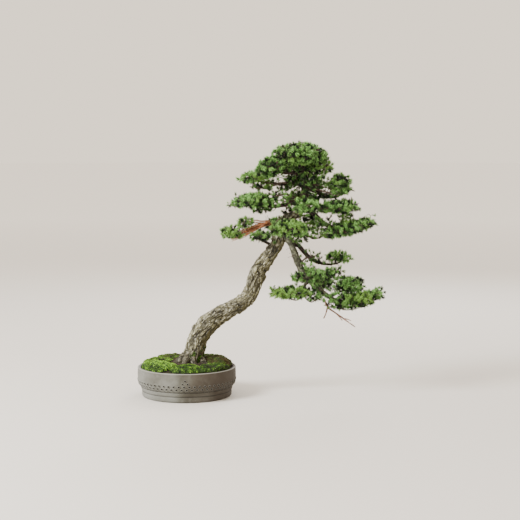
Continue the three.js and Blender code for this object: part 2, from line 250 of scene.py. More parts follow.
def curvePoint(stations, t):
    # a centripetal Catmull-Rom curve through [x, y, z, radius] stations, t from 0 to 1
    place = t * (len(stations) - 1)
    i = min(int(place), len(stations) - 2)
    p1, p2 = Vector(stations[i]), Vector(stations[i + 1])
    p0 = Vector(stations[i - 1]) if i else 2 * p1 - p2
    p3 = Vector(stations[i + 2]) if i + 2 < len(stations) else 2 * p2 - p1
    knots = [0]
    for a, b in ((p0, p1), (p1, p2), (p2, p3)):
        knots.append(knots[-1] + math.sqrt((b - a).xyz.length) + 1e-9)
    s = knots[1] + (place - i) * (knots[2] - knots[1])

    def between(a, b, start, stop):
        return a.lerp(b, (s - knots[start]) / (knots[stop] - knots[start]))
    a1, a2, a3 = between(p0, p1, 0, 1), between(p1, p2, 1, 2), between(p2, p3, 2, 3)
    return between(between(a1, a2, 0, 2), between(a2, a3, 1, 3), 1, 2)


def inMetres(line):
    return [[value * mm for value in station] for station in line]


def sweepLine(line, spacing):
    # evenly spaced rings in metres along a line in millimetres: centre, radius, two directions across, distance
    stations = inMetres(line)
    fine = [curvePoint(stations, k / (24 * len(stations))) for k in range(24 * len(stations) + 1)]
    total = sum((b - a).xyz.length for a, b in zip(fine, fine[1:]))
    count = max(4, round(total / spacing))
    points, travelled, k = [fine[0]], 0.0, 0
    for ring in range(1, count):
        goal = total * ring / count
        while travelled + (fine[k + 1] - fine[k]).xyz.length < goal:
            travelled += (fine[k + 1] - fine[k]).xyz.length
            k += 1
        step = (fine[k + 1] - fine[k])
        points.append(fine[k] + step * ((goal - travelled) / step.xyz.length))
    points.append(fine[-1])
    rings, across = [], None
    for k, point in enumerate(points):
        ahead = (points[min(k + 1, count)] - points[max(k - 1, 0)]).xyz.normalized()
        if across is None:
            across = ahead.orthogonal().normalized()
        across = (across - ahead * across.dot(ahead)).normalized()
        rings.append((point.xyz, point.w, across.copy(), ahead.cross(across), total * k / count))
    return rings


def sweepCentres(line, spacing):
    return [ring[0] for ring in sweepLine(line, spacing)]


def sweepChain(line, spacing):
    return [ring[:2] for ring in sweepLine(line, spacing)]


def tube(bm, rings, sides, surface):
    # a grid sheet rolled round the rings; surface(distance, turn, radius) gives its height and its tags
    sheet = bmesh.ops.create_grid(bm, x_segments=len(rings) - 1, y_segments=sides, size=0.5)["verts"]
    tags = {}
    for vert in sheet:
        k = round((vert.co.x + 0.5) * (len(rings) - 1))
        column = round((vert.co.y + 0.5) * sides) % sides
        centre, radius, across, aside, distance = rings[k]
        turn = 2 * math.pi * column / sides
        if (k, column) not in tags:
            tags[k, column] = surface(distance, turn, radius)
        height, values = tags[k, column]
        outward = across * math.cos(turn) + aside * math.sin(turn)
        vert.co = centre + outward * (radius + height)
        for layer, value in values.items():
            vert[layer] = value
    bmesh.ops.remove_doubles(bm, verts=sheet, dist=0.001 * mm)
    bmesh.ops.holes_fill(bm, edges=[e for e in bm.edges if e.is_boundary], sides=0)
    bmesh.ops.recalc_face_normals(bm, faces=bm.faces)


# the tree's lines, each a list of [x, y, z, radius] stations in millimetres

trunkLine = [
    [6, 6, 70, 36], [15, 2, 104, 31.5], [23, 0, 132, 29.5], [38, -2, 181, 30], [60, -4, 212, 30.5],
    [88, -5, 238, 28], [132, -8, 264, 24.5], [170, -10, 286, 23.5], [198, -10, 316, 23],
    [208, -11, 350, 23], [219, -13, 384, 22], [240, -16, 414, 20.5], [264, -19, 446, 19.5],
    [279, -21, 474, 19.5], [276, -22, 500, 17], [285, -25, 525, 15], [314, -29, 546, 14],
    [343, -33, 566, 13], [356, -37, 595, 12.5], [358, -43, 628, 11], [356, -50, 661, 9.5],
    [349, -58, 697, 7.5], [343, -64, 726, 5], [341, -66, 746, 3],
]
surfaceRoots = [  # direction in degrees, reach and thickness
    [200, 66, 11], [245, 58, 12], [285, 52, 10], [335, 60, 10], [30, 56, 11], [100, 60, 12], [155, 58, 10],
]
limbLines = {
    "cascade": [
        [288, -22, 490, 10], [300, -23, 482, 9.5], [312, -25, 472, 9.5], [324, -28, 446, 9.5],
        [337, -34, 412, 9.5], [350, -42, 386, 9], [369, -50, 361, 8], [385, -55, 344, 7.2],
        [405, -60, 328, 6.5], [427, -62, 310, 6], [453, -61, 298, 5], [481, -59, 293, 4.2],
        [512, -56, 294, 3.4], [542, -53, 304, 2.6], [569, -51, 319, 1.6]],
    "cascade_upper": [
        [350, -40, 388, 5], [362, -34, 370, 4.4], [386, -28, 361, 3.4], [414, -22, 362, 2.4],
        [436, -19, 370, 1.5]],
    "cascade_left": [
        [372, -51, 360, 4.6], [354, -66, 342, 4.2], [331, -78, 328, 3.6], [301, -86, 319, 2.8],
        [278, -89, 320, 2], [264, -90, 328, 1.5]],
    "cascade_back": [[386, -55, 343, 4.2], [402, -34, 338, 3.4], [416, -4, 336, 2.6], [422, 26, 342, 1.5]],
    "cascade_right": [[424, -62, 312, 4.2], [446, -50, 315, 3.6], [474, -38, 326, 2.8], [508, -28, 338, 1.6]],
    "small_right": [
        [292, -21, 487, 8], [312, -18, 476, 6.8], [340, -12, 458, 6.2], [355, -8, 442, 6.2],
        [371, 0, 425, 5.8], [392, 6, 409, 5], [414, 11, 402, 4], [438, 14, 399, 3], [460, 16, 403, 2.2],
        [476, 16, 412, 1.4]],
    "right_inner": [
        [296, -27, 534, 7], [316, -24, 532, 6], [338, -18, 525, 5.2], [353, -16, 509, 4.6],
        [364, -15, 494, 4], [378, -15, 484, 3.2], [394, -15, 481, 2.2], [408, -16, 484, 1.4]],
    "right_long": [
        [344, -34, 577, 8.5], [364, -36, 572, 7.8], [379, -37, 561, 7.4], [391, -38, 550, 7],
        [403, -40, 539, 6.6], [417, -42, 527, 6], [438, -43, 518, 5.2], [466, -44, 513, 4.2],
        [499, -44, 517, 3.2], [529, -43, 527, 2.4], [553, -42, 540, 1.5]],
    "right_mid": [
        [350, -37, 594, 7], [376, -41, 594, 6.5], [400, -44, 577, 5.5], [447, -48, 567, 4.2],
        [497, -50, 572, 2.6], [514, -50, 582, 1.5]],
    "right_upper": [
        [356, -44, 646, 7.5], [368, -44, 636, 7], [386, -43, 626, 6.2], [414, -41, 613, 5.2],
        [438, -39, 606, 4.2], [460, -37, 611, 3], [477, -36, 627, 1.6]],
    "left_mid": [
        [352, -36, 594, 8], [336, -38, 594, 7.2], [312, -40, 587, 6.4], [277, -44, 580, 5.2],
        [236, -46, 579, 4], [194, -47, 583, 2.8], [160, -47, 593, 1.5]],
    "left_upper": [
        [358, -44, 636, 7], [342, -46, 645, 6.4], [313, -51, 646, 5.4], [283, -55, 646, 4.6],
        [253, -58, 649, 3.8], [224, -60, 654, 2.8], [198, -61, 665, 1.5]],
    "crown_left": [
        [354, -54, 678, 6], [333, -60, 680, 5], [307, -66, 679, 4.2], [277, -71, 685, 3], [248, -74, 697, 1.6]],
    "crown_right": [[354, -54, 674, 5.5], [370, -55, 680, 4.6], [392, -58, 688, 3.4], [412, -60, 700, 1.6]],
    "left_low": [
        [278, -22, 517, 7], [260, -23, 523, 5.5], [242, -27, 526, 4.8], [218, -33, 521, 4.4],
        [194, -40, 511, 3.8], [170, -46, 501, 3], [146, -50, 493, 2.2], [130, -51, 493, 1.5]],
    "left_stub": [
        [276, -20, 462, 6], [258, -22, 462, 5], [244, -28, 469, 4.2], [230, -36, 478, 3.4],
        [214, -42, 484, 2.4], [204, -46, 491, 1.5]],
    "front_low": [
        [288, -25, 528, 7], [290, -45, 523, 5.6], [296, -72, 511, 4.6], [304, -100, 508, 3.2],
        [310, -128, 516, 1.6]],
    "front_mid": [
        [357, -39, 606, 6], [359, -58, 599, 4.8], [359, -84, 580, 3.8], [357, -108, 576, 2.8],
        [354, -132, 585, 1.5]],
    "back_low": [[283, -22, 522, 7.5], [284, 2, 520, 6], [288, 36, 512, 5], [294, 74, 510, 3.6], [298, 104, 519, 1.6]],
    "back_mid": [[357, -40, 612, 7], [356, -20, 608, 5.6], [352, 16, 592, 4.6], [350, 52, 588, 3.2],
        [352, 80, 597, 1.6]],
    "back_upper": [[352, -54, 678, 5.5], [346, -38, 684, 4.6], [338, -8, 688, 3.4], [334, 18, 700, 1.6]],
}
deadTwigLines = [
    [[412, -62, 304, 3.8], [420, -62, 292, 3.3], [428, -62, 276, 2.8], [442, -61, 266, 2.4],
     [462, -60, 252, 2.1], [486, -60, 234, 1.7], [509, -60, 218, 1.2]],
    [[452, -61, 259, 1.7], [463, -64, 247, 1.4], [470, -65, 238, 1]],
    [[474, -60, 243, 1.5], [486, -57, 241, 1.2], [497, -56, 236, 0.9]],
    [[426, -62, 280, 2.5], [423, -63, 266, 2.1], [419, -63, 254, 1.7], [414, -63, 244, 1.2]],
]


# bark

def barkMaterial(name, main, second, third, crackColour, shadeSide, darkZones=()):
    material, tree, shader = newMaterial(name, 0.92)
    coords = objectCoords(tree)
    ground = groundPatches(tree, 40.0, main, second, third)
    # long streaks follow the wood through the grain attribute
    along = addNode(tree, "ShaderNodeAttribute", attribute_name="grain").outputs["Vector"]
    streaks = noiseMask(tree, along, 1.0, 5, 0.68)
    plateTone = ramp(tree, attribute(tree, "plate"), 0, 1, 0.4, 1.6)
    toned = addNode(tree, "ShaderNodeHueSaturation", {"Color": ground["Colour"], "Value": plateTone}).outputs["Color"]
    toned = blendColours(tree, ramp(tree, streaks, 0.53, 0.63, 0, 0.85), toned, third)
    toned = blendColours(tree, ramp(tree, streaks, 0.47, 0.39, 0, 0.85), toned, second)
    grains = useGroup(tree, specks, {"Vector": coords, "Scale": 600.0})
    speckled = blendColours(tree, maths(tree, "MULTIPLY", grains["Dark"], 0.55), toned, crackColour)
    # painted shade: the right side (+X) and the underside are darkened in patches towards shadeSide, as if the light
    # came from the upper left
    normal = addNode(tree, "ShaderNodeNewGeometry").outputs["Normal"]
    facing = addNode(tree, "ShaderNodeSeparateXYZ", {"Vector": normal}).outputs
    under = maths(tree, "SUBTRACT", maths(tree, "MULTIPLY", facing["X"], 0.65),
                  maths(tree, "MULTIPLY", facing["Z"], 0.35))
    paintedShade = maths(tree, "MULTIPLY", ramp(tree, under, -0.05, 0.45), ramp(tree, ground["Mask"], 0.3, 0.5, 0.35, 1))
    shaded = blendColours(tree, paintedShade, speckled, shadeSide)
    # each dark zone darkens the bark between two heights towards its own colour, with a patchy edge
    height = addNode(tree, "ShaderNodeSeparateXYZ", {"Vector": coords}).outputs["Z"]
    height = maths(tree, "ADD", height, ramp(tree, ground["Mask"], 0.3, 0.7, -25 * mm, 25 * mm))
    for start, end, most, shade in darkZones:
        shaded = blendColours(tree, ramp(tree, height, start, end, 0, most), shaded, shade)
    depth = maths(tree, "MULTIPLY", attribute(tree, "crack"), ramp(tree, ground["Mask"], 0.3, 0.6, 0.5, 1))
    cracked = blendColours(tree, depth, shaded, crackColour)
    tree.links.new(cracked, shader.inputs["Base Color"])
    relief = maths(tree, "ADD", noiseMask(tree, coords, 900, 5, 0.65), streaks)
    bumpInto(tree, shader, relief, 0.8 * mm, 0.8)
    return material


# trunk: the dark zone above 560 mm is painted shade under the crown; the one below 155 mm darkens the trunk towards its
# foot
trunkBark = barkMaterial("trunkBark", (0.16, 0.152, 0.085), (0.048, 0.044, 0.02), (0.50, 0.49, 0.39),
                         (0.007, 0.006, 0.003), (0.08, 0.07, 0.018),
                         [(560 * mm, 625 * mm, 0.9, (0.018, 0.012, 0.009)),
                          (155 * mm, 85 * mm, 0.8, (0.035, 0.03, 0.024))])
paleBark = barkMaterial("paleBark", (0.105, 0.112, 0.07), (0.045, 0.045, 0.025), (0.26, 0.27, 0.2),
                        (0.006, 0.005, 0.003), (0.03, 0.028, 0.01))
darkBark = barkMaterial("darkBark", (0.05, 0.034, 0.024), (0.012, 0.008, 0.006), (0.14, 0.105, 0.085),
                        (0.003, 0.002, 0.002), (0.014, 0.01, 0.006))
copperBark = barkMaterial("copperBark", (0.33, 0.115, 0.04), (0.16, 0.05, 0.02), (0.62, 0.33, 0.17),
                          (0.03, 0.01, 0.005), (0.15, 0.05, 0.018))
deadWood = barkMaterial("deadWood", (0.34, 0.19, 0.13), (0.19, 0.095, 0.065), (0.52, 0.38, 0.29),
                        (0.06, 0.03, 0.02), (0.22, 0.11, 0.075))


def barkSurface(bm, plateLong, plateWide, thickness, roughness, seed):
    plate = bm.verts.layers.float.new("plate")
    crack = bm.verts.layers.float.new("crack")
    grain = bm.verts.layers.float_vector.new("grain")
    shift = Vector((seed * 3.1, seed * 1.7, seed * 5.3))

    def surface(distance, turn, radius):
        around = Vector((math.cos(turn), math.sin(turn), 0)) * radius
        spot = around / plateWide + up * distance / plateLong + shift
        spot += noise.noise_vector(spot * 0.7) * 0.55
        distances, cells = noise.voronoi(spot)
        gap = distances[1] - distances[0]
        pick = noise.cell_vector(cells[0] * 11.3)
        solid = smoothStep(gap, 0.03, 0.22)
        offset = spot - cells[0]
        # each plate is loose at one end, a few of them far more than the rest
        loose = (offset.z if pick.z > 0.5 else -offset.z) * (1.9 if pick.x > 0.8 else 0.7)
        loose += 0.4 * offset.x * (pick.y - 0.5)
        small = noise.voronoi(spot * Vector((2.1, 2.1, 1.5)) + shift)[0]
        fissure = 1 - smoothStep(small[1] - small[0], 0.02, 0.16)
        swell = noise.noise(around / (plateWide * 3) + up * distance / (plateLong * 1.6) + shift)
        grainy = noise.fractal(spot * 3.3, 0.9, 2.1, 3)
        height = thickness * solid * (0.35 + 0.65 * pick.x + max(-0.3, loose) - 0.28 * fissure)
        height += roughness * (1.5 * swell + 0.4 * grainy)
        streaky = Vector((around.x, around.y, distance * 0.16)) / (2.6 * mm) + shift
        cracked = max(1 - smoothStep(gap, 0.04, 0.19), 0.7 * fissure)
        return height, {plate: pick.y, crack: cracked, grain: streaky}
    return surface


# trunk

trunkLook = {"sides": 132, "spacing": 1.5 * mm, "plateLong": 33 * mm, "plateWide": 8.6 * mm, "thick": 4.8 * mm,
             "rough": 1.7 * mm, "sunk": 2.0 * mm}


def rootLine(direction, reach, thick):
    angle = math.radians(direction)
    x, y = trunkLine[1][:2]

    def out(distance, height, radius):
        return [x + distance * math.cos(angle), y + distance * math.sin(angle), height, radius]
    return [out(14, 128, thick), out(33, 110, thick), out(reach * 0.75, 100, thick * 0.7),
            out(reach, 91, thick * 0.4)]


def addPart(bm, part):
    mesh = meshFrom(part, "part")
    bm.from_mesh(mesh)
    bpy.data.meshes.remove(mesh)


def makeTrunk():
    bm = bmesh.new()
    look = trunkLook
    bark = barkSurface(bm, look["plateLong"], look["plateWide"], look["thick"], look["rough"], 1)

    def surface(distance, turn, radius):
        height, tags = bark(distance, turn, radius)
        return (height - look["sunk"]) * (0.2 + 0.8 * smoothStep(radius, 3 * mm, 24 * mm)), tags
    tube(bm, sweepLine(trunkLine, look["spacing"]), look["sides"], surface)
    for k, root in enumerate(surfaceRoots):
        part = bmesh.new()
        tube(part, sweepLine(rootLine(*root), 2 * mm), 30, barkSurface(part, 13 * mm, 6 * mm, 2 * mm, 1.4 * mm, 20 + k))
        addPart(bm, part)
    handOver(pieceFrom(bm, "trunkWood", trunkBark), "bark", "trunk")


makeTrunk()
print("trunk made")


# branches

branchLook = {  # the heavy limb is finer and has larger plates
    "heavy": {"sides": 30, "spacing": 2.2 * 0.7 * mm, "plateLong": 14 * mm, "plateWide": 5.5 * mm},
    "light": {"sides": 16, "spacing": 2.2 * mm, "plateLong": 10 * mm, "plateWide": 4.5 * mm}}
branchBark = {"cascade": paleBark, "cascade_upper": paleBark, "cascade_left": paleBark, "left_low": copperBark}

for k, (name, line) in enumerate(limbLines.items()):
    bm = bmesh.new()
    thick = line[0][3] / 10
    look = branchLook["heavy" if name == "cascade" else "light"]
    bark = barkSurface(bm, look["plateLong"], look["plateWide"], 1.5 * thick * mm, 1.3 * thick * mm, 40 + k)
    tube(bm, sweepLine(line, look["spacing"]), look["sides"], bark)
    branch = pieceFrom(bm, "wood_" + name, branchBark.get(name, darkBark))
    handOver(branch, "copper_bark" if name == "left_low" else "young_bark", "branch_" + name)
print("branches made")


# scattering: every point carries its own turn, size, tone and kind of template

def scatterTree():
    tree = bpy.data.node_groups.new("scatter", "GeometryNodeTree")
    tree.interface.new_socket("Geometry", in_out="INPUT", socket_type="NodeSocketGeometry")
    tree.interface.new_socket("Templates", in_out="INPUT", socket_type="NodeSocketCollection")
    tree.interface.new_socket("Geometry", in_out="OUTPUT", socket_type="NodeSocketGeometry")
    entry = tree.nodes.new("NodeGroupInput").outputs

    def named(name, kind):
        return addNode(tree, "GeometryNodeInputNamedAttribute", {"Name": name}, data_type=kind).outputs["Attribute"]
    templates = addNode(tree, "GeometryNodeCollectionInfo",
                        {"Collection": entry["Templates"], "Separate Children": True, "Reset Children": True})
    turn = addNode(tree, "FunctionNodeEulerToRotation", {"Euler": named("turn", "FLOAT_VECTOR")})
    placed = addNode(tree, "GeometryNodeInstanceOnPoints", {
        "Points": entry["Geometry"], "Instance": templates.outputs["Instances"], "Pick Instance": True,
        "Instance Index": named("kind", "INT"), "Rotation": turn.outputs["Rotation"],
        "Scale": named("size", "FLOAT_VECTOR")})
    real = addNode(tree, "GeometryNodeRealizeInstances", {"Geometry": placed.outputs["Instances"]})
    tree.links.new(real.outputs["Geometry"], tree.nodes.new("NodeGroupOutput").inputs["Geometry"])
    return tree


scatter = scatterTree()


def templateSet(name, meshes):
    group = bpy.data.collections.new(name)
    for k, mesh in enumerate(meshes):
        group.objects.link(bpy.data.objects.new(f"{name}{k}", mesh))
    return group


def scatterMesh(spots, templates):
    # spots are (place, direction, spin, size, tone, kind)
    mesh = bpy.data.meshes.new("spots")
    mesh.from_pydata([spot[0] for spot in spots], [], [])
    turns, sizes = [], []
    for place, direction, spin, size, tone, kind in spots:
        turns.extend((direction.to_track_quat("Z", "Y").to_matrix() @ Matrix.Rotation(spin, 3, "Z")).to_euler())
        sizes.extend((size, size, size))
    for label, kind, values, key in (
            ("turn", "FLOAT_VECTOR", turns, "vector"), ("size", "FLOAT_VECTOR", sizes, "vector"),
            ("tone", "FLOAT", [spot[4] for spot in spots], "value"),
            ("kind", "INT", [spot[5] for spot in spots], "value")):
        mesh.attributes.new(label, kind, "POINT").data.foreach_set(key, values)
    holder = bpy.data.objects.new("spots", mesh)
    bpy.context.collection.objects.link(holder)
    modifier = holder.modifiers.new("scatter", "NODES")
    modifier.node_group = scatter
    modifier["Socket_1"] = templates
    real = evaluatedMesh(holder)
    bpy.data.objects.remove(holder)
    for label in ("turn", "size", "kind"):
        if label in real.attributes:
            real.attributes.remove(real.attributes[label])
    return real


def scatterPiece(name, spots, templates, slotName, *replaced, **paints):
    piece = pieceFromMesh(name, scatterMesh(spots, templates))
    for label, value in paints.items():
        paintAll(piece.data, label, value)
    handOver(piece, slotName, *replaced)


# tufts of needles

tuftLook = {"kinds": 6, "needles": 13, "stem": 5 * mm, "needle": 7 * mm, "wide": 1.05 * mm, "thick": 0.5 * mm}

needleGreen, tree, shader = newMaterial("needleGreen", 0.5)
shader.inputs["Specular IOR Level"].default_value = 0.28
tone = attribute(tree, "tone")
tip = attribute(tree, "tip")
coords = objectCoords(tree)
# low tone goes near black: it carries painted shade from deep inside the pads and underneath, as well as random dark
# clumps
deepGreen = blendColours(tree, ramp(tree, tone, 0.1, 0.9), (0.002, 0.007, 0.001), (0.036, 0.118, 0.016))
freshness = maths(tree, "MULTIPLY", ramp(tree, tip, 0.3, 0.9), ramp(tree, tone, 0.25, 0.95))
freshTips = blendColours(tree, freshness, deepGreen, (0.39, 0.78, 0.22))
olive = maths(tree, "ADD", ramp(tree, noiseMask(tree, coords, 16, 2, 0.5), 0.52, 0.7, 0, 0.5), attribute(tree, "warm"))
olive = maths(tree, "MULTIPLY", olive, ramp(tree, tone, 0.2, 0.8))
tree.links.new(blendColours(tree, olive, freshTips, (0.19, 0.32, 0.04)), shader.inputs["Base Color"])


def twigMaterial(name, roughness, scale, main, second, third, relief):
    material, tree, shader = newMaterial(name, roughness)
    tree.links.new(groundPatches(tree, scale, main, second, third)["Colour"], shader.inputs["Base Color"])
    bumpInto(tree, shader, noiseMask(tree, objectCoords(tree), relief, 3), 0.2 * mm)
    return material


twigBrown = twigMaterial("twigBrown", 0.85, 120.0, (0.06, 0.037, 0.026), (0.022, 0.014, 0.01),
                         (0.17, 0.115, 0.09), 1200)
copperTwig = twigMaterial("copperTwig", 0.7, 90.0, (0.36, 0.13, 0.045), (0.17, 0.055, 0.022),
                          (0.62, 0.34, 0.18), 1100)


def tuftMesh(seed):
    # a short stem set with flat pointed needles, each a closed three-sided spike
    chance = random.Random(seed)
    look = tuftLook
    bm = bmesh.new()
    tip = bm.verts.layers.float.new("tip")
    bmesh.ops.create_cone(bm, segments=3, cap_ends=True, radius1=0.5 * mm, radius2=0.2 * mm,
                          depth=look["stem"], matrix=Matrix.Translation(up * look["stem"] / 2))
    for k in range(look["needles"]):
        part = (k + 0.5) / look["needles"]
        turn = Matrix.Rotation(k * 2.39996 + chance.uniform(-0.4, 0.4), 4, "Z")
        lean = Matrix.Rotation(math.radians(chance.uniform(70, 92) * (1 - part ** 1.6) + chance.uniform(4, 18)), 4, "Y")
        blade = bmesh.ops.create_cone(bm, segments=3, cap_ends=True, radius1=1, radius2=0, depth=1)["verts"]
        bmesh.ops.translate(bm, verts=blade, vec=(0, 0, 0.5))
        for vert in blade:
            vert[tip] = min(1, 0.3 * part + 0.85 * vert.co.z)
        length = look["needle"] * chance.uniform(0.75, 1.1) * (0.8 + 0.3 * part)
        bmesh.ops.scale(bm, verts=blade, vec=(look["thick"], look["wide"], length))
        bmesh.ops.transform(bm, verts=blade, matrix=Matrix.Translation(up * look["stem"] * part) @ turn @ lean)
    return meshFrom(bm, "tuft", needleGreen)


tufts = templateSet("tuft", [tuftMesh(seed) for seed in range(tuftLook["kinds"])])


# twigs grow from a limb towards clumps inside its pad, and each clump is a rosette of tufts

growth = {"step": 5.5 * mm, "reach": 80 * mm, "stop": 6 * mm, "rounds": 60, "tipRadius": 0.5 * mm,
          "thickest": 3 * mm, "spread": 2.3, "innerStarts": 14}
clumpLook = {"gap": 9.5 * mm, "tries": 9e6, "skin": -0.5 * mm, "dent": 24 * mm, "dentSize": 20 * mm,
             "shell": 14 * mm, "stray": 0.14, "tufts": (3, 5), "cone": 0.85, "offset": 2.6 * mm}


def clumpSpots(bm, chance):
    # places inside a pad, apart from each other, most of them near its skin, which is dented here and there
    look = clumpLook
    tree = BVHTree.FromBMesh(bm)
    low = Vector(min(vert.co[k] for vert in bm.verts) for k in range(3))
    high = Vector(max(vert.co[k] for vert in bm.verts) for k in range(3))
    bm.free()
    size = high - low
    taken, clumps = {}, []
    for _ in range(int(look["tries"] * size.x * size.y * size.z)):
        spot = Vector(chance.uniform(a, b) for a, b in zip(low, high))
        near, normal, face, distance = tree.find_nearest(spot)
        if (spot - near).dot(normal) > 0:
            continue
        inside = distance - look["skin"] - look["dent"] * max(0, noise.noise(near / look["dentSize"]) - 0.12)
        under = smoothStep(-normal.z, 0.15, 0.6)
        if inside < 0 or chance.random() < 0.2 * under or (inside > look["shell"] and chance.random() < 0.85):
            continue
        cell = tuple(int(value // look["gap"]) for value in spot)
        around = (taken.get((cell[0] + i, cell[1] + j, cell[2] + k))
                  for i in (-1, 0, 1) for j in (-1, 0, 1) for k in (-1, 0, 1))
        if any(other and (other - spot).length < look["gap"] for other in around):
            continue
        taken[cell] = spot
        if chance.random() < look["stray"] * (1 - under) and normal.z < 0.8:
            spot = spot + (normal + 0.4 * up) * chance.uniform(2, 7) * mm
        clumps.append((spot, normal, min(1, max(0, inside) / look["shell"]), under))
    return clumps


def finderOf(places):
    finder = KDTree(len(places))
    for k, place in enumerate(places):
        finder.insert(place, k)
    finder.balance()
    return finder


def growTwigs(starts, targets, chance):
    places = list(starts)
    parents = [None] * len(starts)
    left = list(targets)
    for _ in range(growth["rounds"]):
        finder = finderOf(places)
        pulls, kept = {}, []
        for target in left:
            near, k, distance = finder.find(target)
            if distance < growth["stop"]:
                continue
            kept.append(target)
            if distance < growth["reach"]:
                pulls[k] = pulls.get(k, Vector()) + (target - places[k]).normalized()
        left = kept
        if not pulls:
            break
        for k, pull in pulls.items():
            heading = pull.normalized()
            if parents[k] is not None:
                heading += 0.45 * (places[k] - places[parents[k]]).normalized()
            heading += Vector(chance.uniform(-0.3, 0.3) for _ in range(3))
            places.append(places[k] + heading.normalized() * growth["step"])
            parents.append(k)
    finder = finderOf(places)
    for target in targets:
        parents.append(finder.find(target)[1])
        places.append(target)
    return places, parents


def twigChains(places, parents):
    # every tip is followed back to a twig already drawn; each twig thickens with the tips it carries
    children = [0] * len(places)
    loads = [0.0] * len(places)
    for k in range(len(places) - 1, -1, -1):
        if not children[k]:
            loads[k] = growth["tipRadius"] ** growth["spread"]
        if parents[k] is not None:
            loads[parents[k]] += loads[k]
            children[parents[k]] += 1
    chains, used = [], set()
    for k in range(len(places) - 1, -1, -1):
        if children[k] or parents[k] is None:
            continue
        chain, spot = [], k
        while spot is not None:
            chain.append((places[spot], min(growth["thickest"], loads[spot] ** (1 / growth["spread"]))))
            if spot in used:
                break
            used.add(spot)
            spot = parents[spot]
        chains.append(chain)
    return chains


def twigCurves(name, chains, material):
    # each chain is a list of (place, radius)
    data = bpy.data.curves.new(name, "CURVE")
    data.dimensions = "3D"
    data.bevel_depth = 1.0
    data.bevel_resolution = 0
    data.use_fill_caps = True
    for chain in chains:
        spline = data.splines.new("POLY")
        spline.points.add(len(chain) - 1)
        for point, (place, radius) in zip(spline.points, chain):
            point.co = (*place, 1)
            point.radius = radius
    holder = bpy.data.objects.new(name, data)
    bpy.context.collection.objects.link(holder)
    mesh = evaluatedMesh(holder)
    bpy.data.objects.remove(holder)
    mesh.materials.clear()
    mesh.materials.append(material)
    return pieceFromMesh(name, mesh, True)


def rosette(spot, heading, tone, chance, count, size=1.0):
    spots = []
    for k in range(count):
        lean = Vector(chance.uniform(-1, 1) for _ in range(3)) * clumpLook["cone"]
        direction = (heading + (lean if k else lean * 0.2)).normalized()
        place = spot + Vector(chance.uniform(-1, 1) for _ in range(3)) * clumpLook["offset"] - heading * 2 * mm
        spots.append((place, direction, chance.uniform(0, 6.28), size * chance.uniform(0.8, 1.2),
                      min(1, tone * chance.uniform(0.75, 1.2)), chance.randrange(tuftLook["kinds"])))
    return spots


def leafyClumps(clumps, places, parents, chance, brightness):
    spots = []
    for k, (spot, normal, depth, under) in enumerate(clumps, len(places) - len(clumps)):
        along = (spot - places[parents[k]]).normalized()
        heading = (0.8 * normal * (1 - 0.4 * under) + 0.4 * along + (0.45 - 0.3 * under) * up).normalized()
        fresh = chance.uniform(0.75, 1.4) if chance.random() < 0.68 else chance.uniform(0.08, 0.32)
        # painted shade: tufts deep inside the pad and on its underside get a lower tone, so they are darker
        tone = brightness * (1 - 0.75 * depth) * (1 - 0.3 * under) * fresh
        spots += rosette(spot, heading, tone, chance, chance.randint(*clumpLook["tufts"]))
    return spots


padLimb = {  # a pad that isn't listed grows on the limb of its own name
    "crown_top": "trunk", "left_low_upper": "left_low", "cascade_tip": "cascade"}
padTone = {"front_low": 1.05, "left_low": 1.1, "left_low_upper": 1.1, "cascade_left": 1.3, "crown_top": 0.95,
           "cascade_upper": 1.2, "cascade_right": 1.25, "cascade_tip": 1.25, "small_right": 1.15,
           "left_mid": 1.1, "right_mid": 1.1, "right_long": 1.15, "right_inner": 1.1,
           "crown_right": 0.85, "back_low": 0.85, "back_mid": 0.85, "back_upper": 0.8}
padWarmth = {"front_low": 0.05, "cascade_left": 0.3, "cascade_tip": 0.1, "left_low": 0.25, "left_low_upper": 0.2}
pads = [name[len("foliage_"):] for name in sorted(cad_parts) if name.startswith("foliage_")]

for pad in pads:
    chance = random.Random("pad " + pad)
    limb = padLimb.get(pad, pad)
    line = trunkLine if limb == "trunk" else limbLines[limb]
    clumps = clumpSpots(mergedCopy("foliage_" + pad), chance)
    low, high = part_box("foliage_" + pad)
    heart = (low + high) / 2
    heart.z = low.z + 0.2 * (high.z - low.z)
    reach = (high - low).length / 2
    starts = [place for place in sweepCentres(line, growth["step"]) if (place - heart).length < reach]
    places, parents = growTwigs(starts, [clump[0] for clump in clumps], chance)
    handOver(twigCurves("twigs_" + pad, twigChains(places, parents), twigBrown), "young_bark")
    spots = leafyClumps(clumps, places, parents, chance, padTone.get(pad, 1))
    scatterPiece("needles_" + pad, spots, tufts, "needles", "foliage_" + pad, warm=padWarmth.get(pad, 0))
    print("pad", pad, len(clumps), "clumps", len(places), "twig nodes", len(spots), "tufts")


# fine inner twigs that fill the space between the trunk, the limbs and the pads

